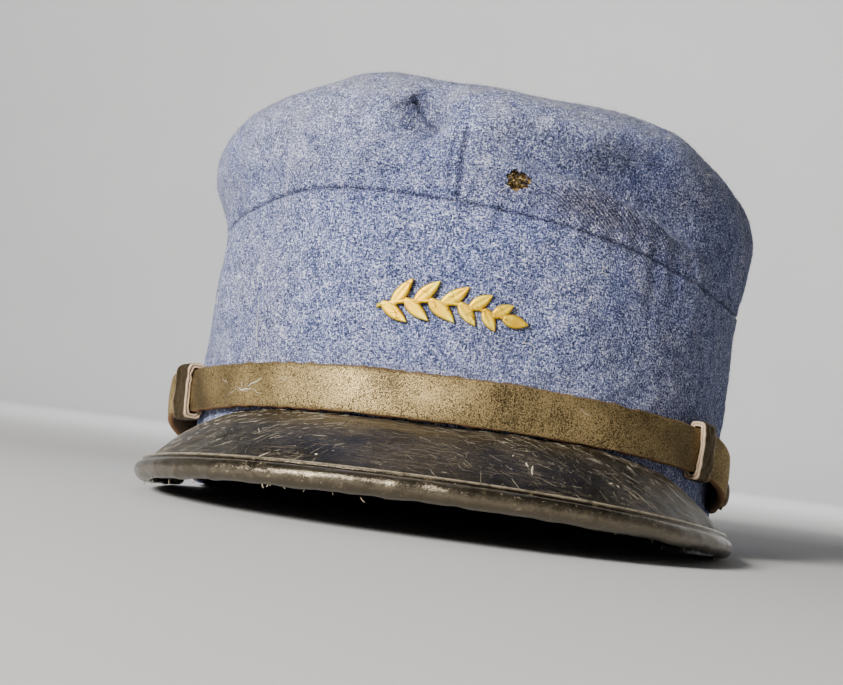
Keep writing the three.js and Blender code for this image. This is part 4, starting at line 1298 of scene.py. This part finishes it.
def button(side, material):
    """A domed button on its shank, a closed body turned about its axis."""
    angle = math.radians(side.button_angle) * side.sign
    row = row_at_height(np.array(angle), np.array(float(TAIL.z_end)))
    out = level(cloth_frame(angle, row)[2])
    seat = strap_at(np.array(float(side.button_angle)), side)[2] + STRAP.thickness + BUTTON.play
    profile = [(BUTTON.shank_radius, GAP), (BUTTON.shank_radius, seat)]
    profile += [(BUTTON.radius * r, seat + BUTTON.thickness * h) for r, h in BUTTON_FACE]
    turns = circle(BUTTON.sides)[:, None]
    spokes = np.array([-out[1], out[0], 0]) * np.cos(turns) + np.array([0, 0, 1.0]) * np.sin(turns)
    foot = cloth(angle, row)
    rings = np.array([foot + out * h + spokes * r for r, h in profile])
    rings += spokes[None] * ripples(rings, BUTTON_WAVES)[..., None]
    count = len(turns)
    ends = [foot + out * GAP, foot + out * (seat + BUTTON.thickness)]
    points = np.concatenate([rings.reshape(-1, 3), ends])
    faces = flipped(ring_faces(len(rings), count)) + fan(0, count, len(points) - 2)
    faces += flipped(fan((len(rings) - 1) * count, count, len(points) - 1))
    nodes = [f"button_{side.name}"]
    return make_piece(f"button_{side.name}_face", points, faces, material, "button_brass", nodes)


# Sprig


def laid(flat, stand):
    """Flat points on the front of the band, standing off it."""
    return off_band(flat[..., 0] / COLUMNS["front"][2], SPRIG.z + flat[..., 1], stand)


def applique(flat, thick, rim):
    """A closed body on the band over flat points, with its edge values: rim on its face, 1 on its back."""
    top = laid(flat, GAP + thick)
    bottom = laid(flat, np.full(flat.shape[:2], GAP))
    points, faces = lofted(np.concatenate([top, bottom[:, ::-1]], 1))
    return points, faces, np.tile(np.concatenate([rim, np.ones(len(rim))]), len(flat))


def leaf_body(foot, heading, length, crown):
    """A crowned leaf with a sunk midrib."""
    t = np.linspace(0, 1, SPRIG_STEPS.leaf)[:, None]
    s = np.linspace(-1, 1, SPRIG_STEPS.leaf_across)
    share = np.clip(lerp(LEAF.foot, 1, t), 0, 1)
    width = SPRIG.leaf_half * np.sin(np.pi * share ** LEAF.fullness) ** LEAF.fullness + LEAF.least
    turn = math.radians(heading)
    along = np.array([math.cos(turn), math.sin(turn)])
    across = np.array([-along[1], along[0]])
    flat = foot + along * (lerp(-LEAF.overlap, 1, t) * length)[..., None] + (s * width)[..., None] * across
    dome = SPRIG.thickness * lerp(LEAF.edge, 1, 1 - s ** 4) + crown
    rib = LEAF.rib * bell(s, LEAF.rib_half) * np.sin(np.pi * t)
    rim = np.clip((np.abs(s) - LEAF.rim_from) / (1 - LEAF.rim_from), 0, 1) * LEAF.rim
    return applique(flat, dome - rib, rim)


def stem_at(t):
    return paired(SPRIG.half_length * t, SPRIG.bow * (1 - t * t))


def stem_body():
    t = np.linspace(-1, 1, SPRIG_STEPS.stem)
    s = np.linspace(-1, 1, SPRIG_STEPS.stem_across)
    half = SPRIG.stem_half * (1 - SPRIG.stem_taper * (t + 1) / 2)
    flat = stem_at(t)[:, None] + paired(0, s)[None] * half[:, None, None]
    dome = SPRIG.thickness * (0.7 + 0.35 * (1 - s * s))
    return applique(flat, dome + 0 * half[:, None], np.where(np.abs(s) > 0.9, 0.7, 0))


def sprig(material):
    """A laurel sprig: pairs of leaves along a bowed stem, and a leaf at its tip."""
    bodies = []
    for i in range(SPRIG.pairs):
        t = lerp(SPRIG.first_pair, SPRIG.last_pair, i / (SPRIG.pairs - 1))
        slope = math.degrees(math.atan2(-2 * SPRIG.bow * t, SPRIG.half_length))
        size = SPRIG.leaf_length * (1 - SPRIG.shrink * i)
        bodies.append(leaf_body(stem_at(t), slope + SPRIG.leaf_lean, size, 0.0))
        bodies.append(leaf_body(stem_at(t - SPRIG.stagger), slope - SPRIG.leaf_lean, size, 0.04))
    bodies.append(leaf_body(stem_at(SPRIG.tip_at), SPRIG.tip_heading, SPRIG.tip_length, 0.02))
    bodies.append(stem_body())
    points, faces = joined([body[:2] for body in bodies])
    edges = np.concatenate([body[2] for body in bodies])
    return make_piece("sprig_applique", points, faces, material, "gold_applique", ["emblem"], {"edge": edges})


# Studio


def facing(place, right, up):
    """Matrix of a camera or lamp that looks along its own -Z."""
    turn = Matrix(np.column_stack([right, up, np.cross(right, up)]).tolist())
    return Matrix.Translation(place) @ turn.to_4x4()


def studio():
    """A pale floor that sweeps up into a round backdrop, with soft lights."""
    turns = circle(STAGE.steps)
    wall = STAGE.radius + STAGE.fillet
    profile = [(r, 0) for r in STAGE.rings]
    for b in np.linspace(0, np.pi / 2, STAGE.fillet_steps):
        profile.append((STAGE.radius + STAGE.fillet * math.sin(b), STAGE.fillet * (1 - math.cos(b))))
    profile.append((wall, STAGE.height))
    x, y = np.cos(turns), np.sin(turns)
    rings = np.array([np.column_stack([r * x, r * y, 0 * turns + z]) for r, z in profile])
    faces = flipped(ring_faces(len(rings), STAGE.steps)) + [list(range(STAGE.steps))]
    sweep = add_mesh("studio_sweep", rings, faces, stage_material())
    sweep.data.shade_smooth()
    for light in LIGHTS:
        lamp = bpy.data.lights.new(light.name, "AREA")
        lamp.shape = "DISK"
        lamp.size = light.size
        lamp.energy = light.power
        lamp.color = light.colour
        holder = add_object(light.name, lamp)
        back = unit(np.array(light.place) - light.aim)
        side = unit(np.cross([0, 0, 1.0], back))
        holder.matrix_world = facing(light.place, side, np.cross(back, side))
        holder.visible_camera = False
    world = bpy.data.worlds.new("studio")
    world.use_nodes = True
    world.node_tree.nodes["Background"].inputs["Color"].default_value = (WORLD_TONE,) * 3 + (1,)
    bpy.context.scene.world = world


def camera():
    lens = bpy.data.cameras.new("camera")
    lens.lens = LENS
    lens.sensor_width = SENSOR
    lens.clip_start = NEAREST
    holder = add_object("camera", lens)
    holder.matrix_world = facing(CAMERA_PLACE, CAMERA_RIGHT, CAMERA_UP)
    bpy.context.scene.camera = holder


def dress():
    wool = wool_material()
    fuzz_wool = fuzz_material()
    cloth_wall("band_cloth", "band", 0, SEAM_ROW, (SEAM_ROW,), wool)
    crown = cloth_wall("crown_cloth", "crown", SEAM_ROW, TOP_SEAM_ROW, (SEAM_ROW, TOP_SEAM_ROW), wool)
    # The thread material also darkens the moth hole's walls and floor, partly as painted shade.
    threads = thread_material()
    moth_threads(cut_moth_hole(crown, threads), threads)
    cloth_top(wool)
    for coat in FUZZ_COATS:
        fuzz(coat, fuzz_wool)
    lint(lint_material())
    marks = mark_material()
    grid, length = peak_grid()
    peak_leather(grid, length, peak_material())
    peak_marks(grid, marks)
    binding = binding_material()
    peak_binding(grid, length, binding)
    binding_frays(grid, binding)
    chin_strap(strap_material("strap_leather", *STRAP_TONES))
    strap_scuffs(marks)
    keeper_leather = strap_material("keeper_leather", *KEEPER_TONES)
    brass = brass_material()
    for side in SIDES:
        keeper(side, keeper_leather)
        button(side, brass)
    sprig(gold_material())


dress()
studio()
camera()

bpy.context.view_layer.update()
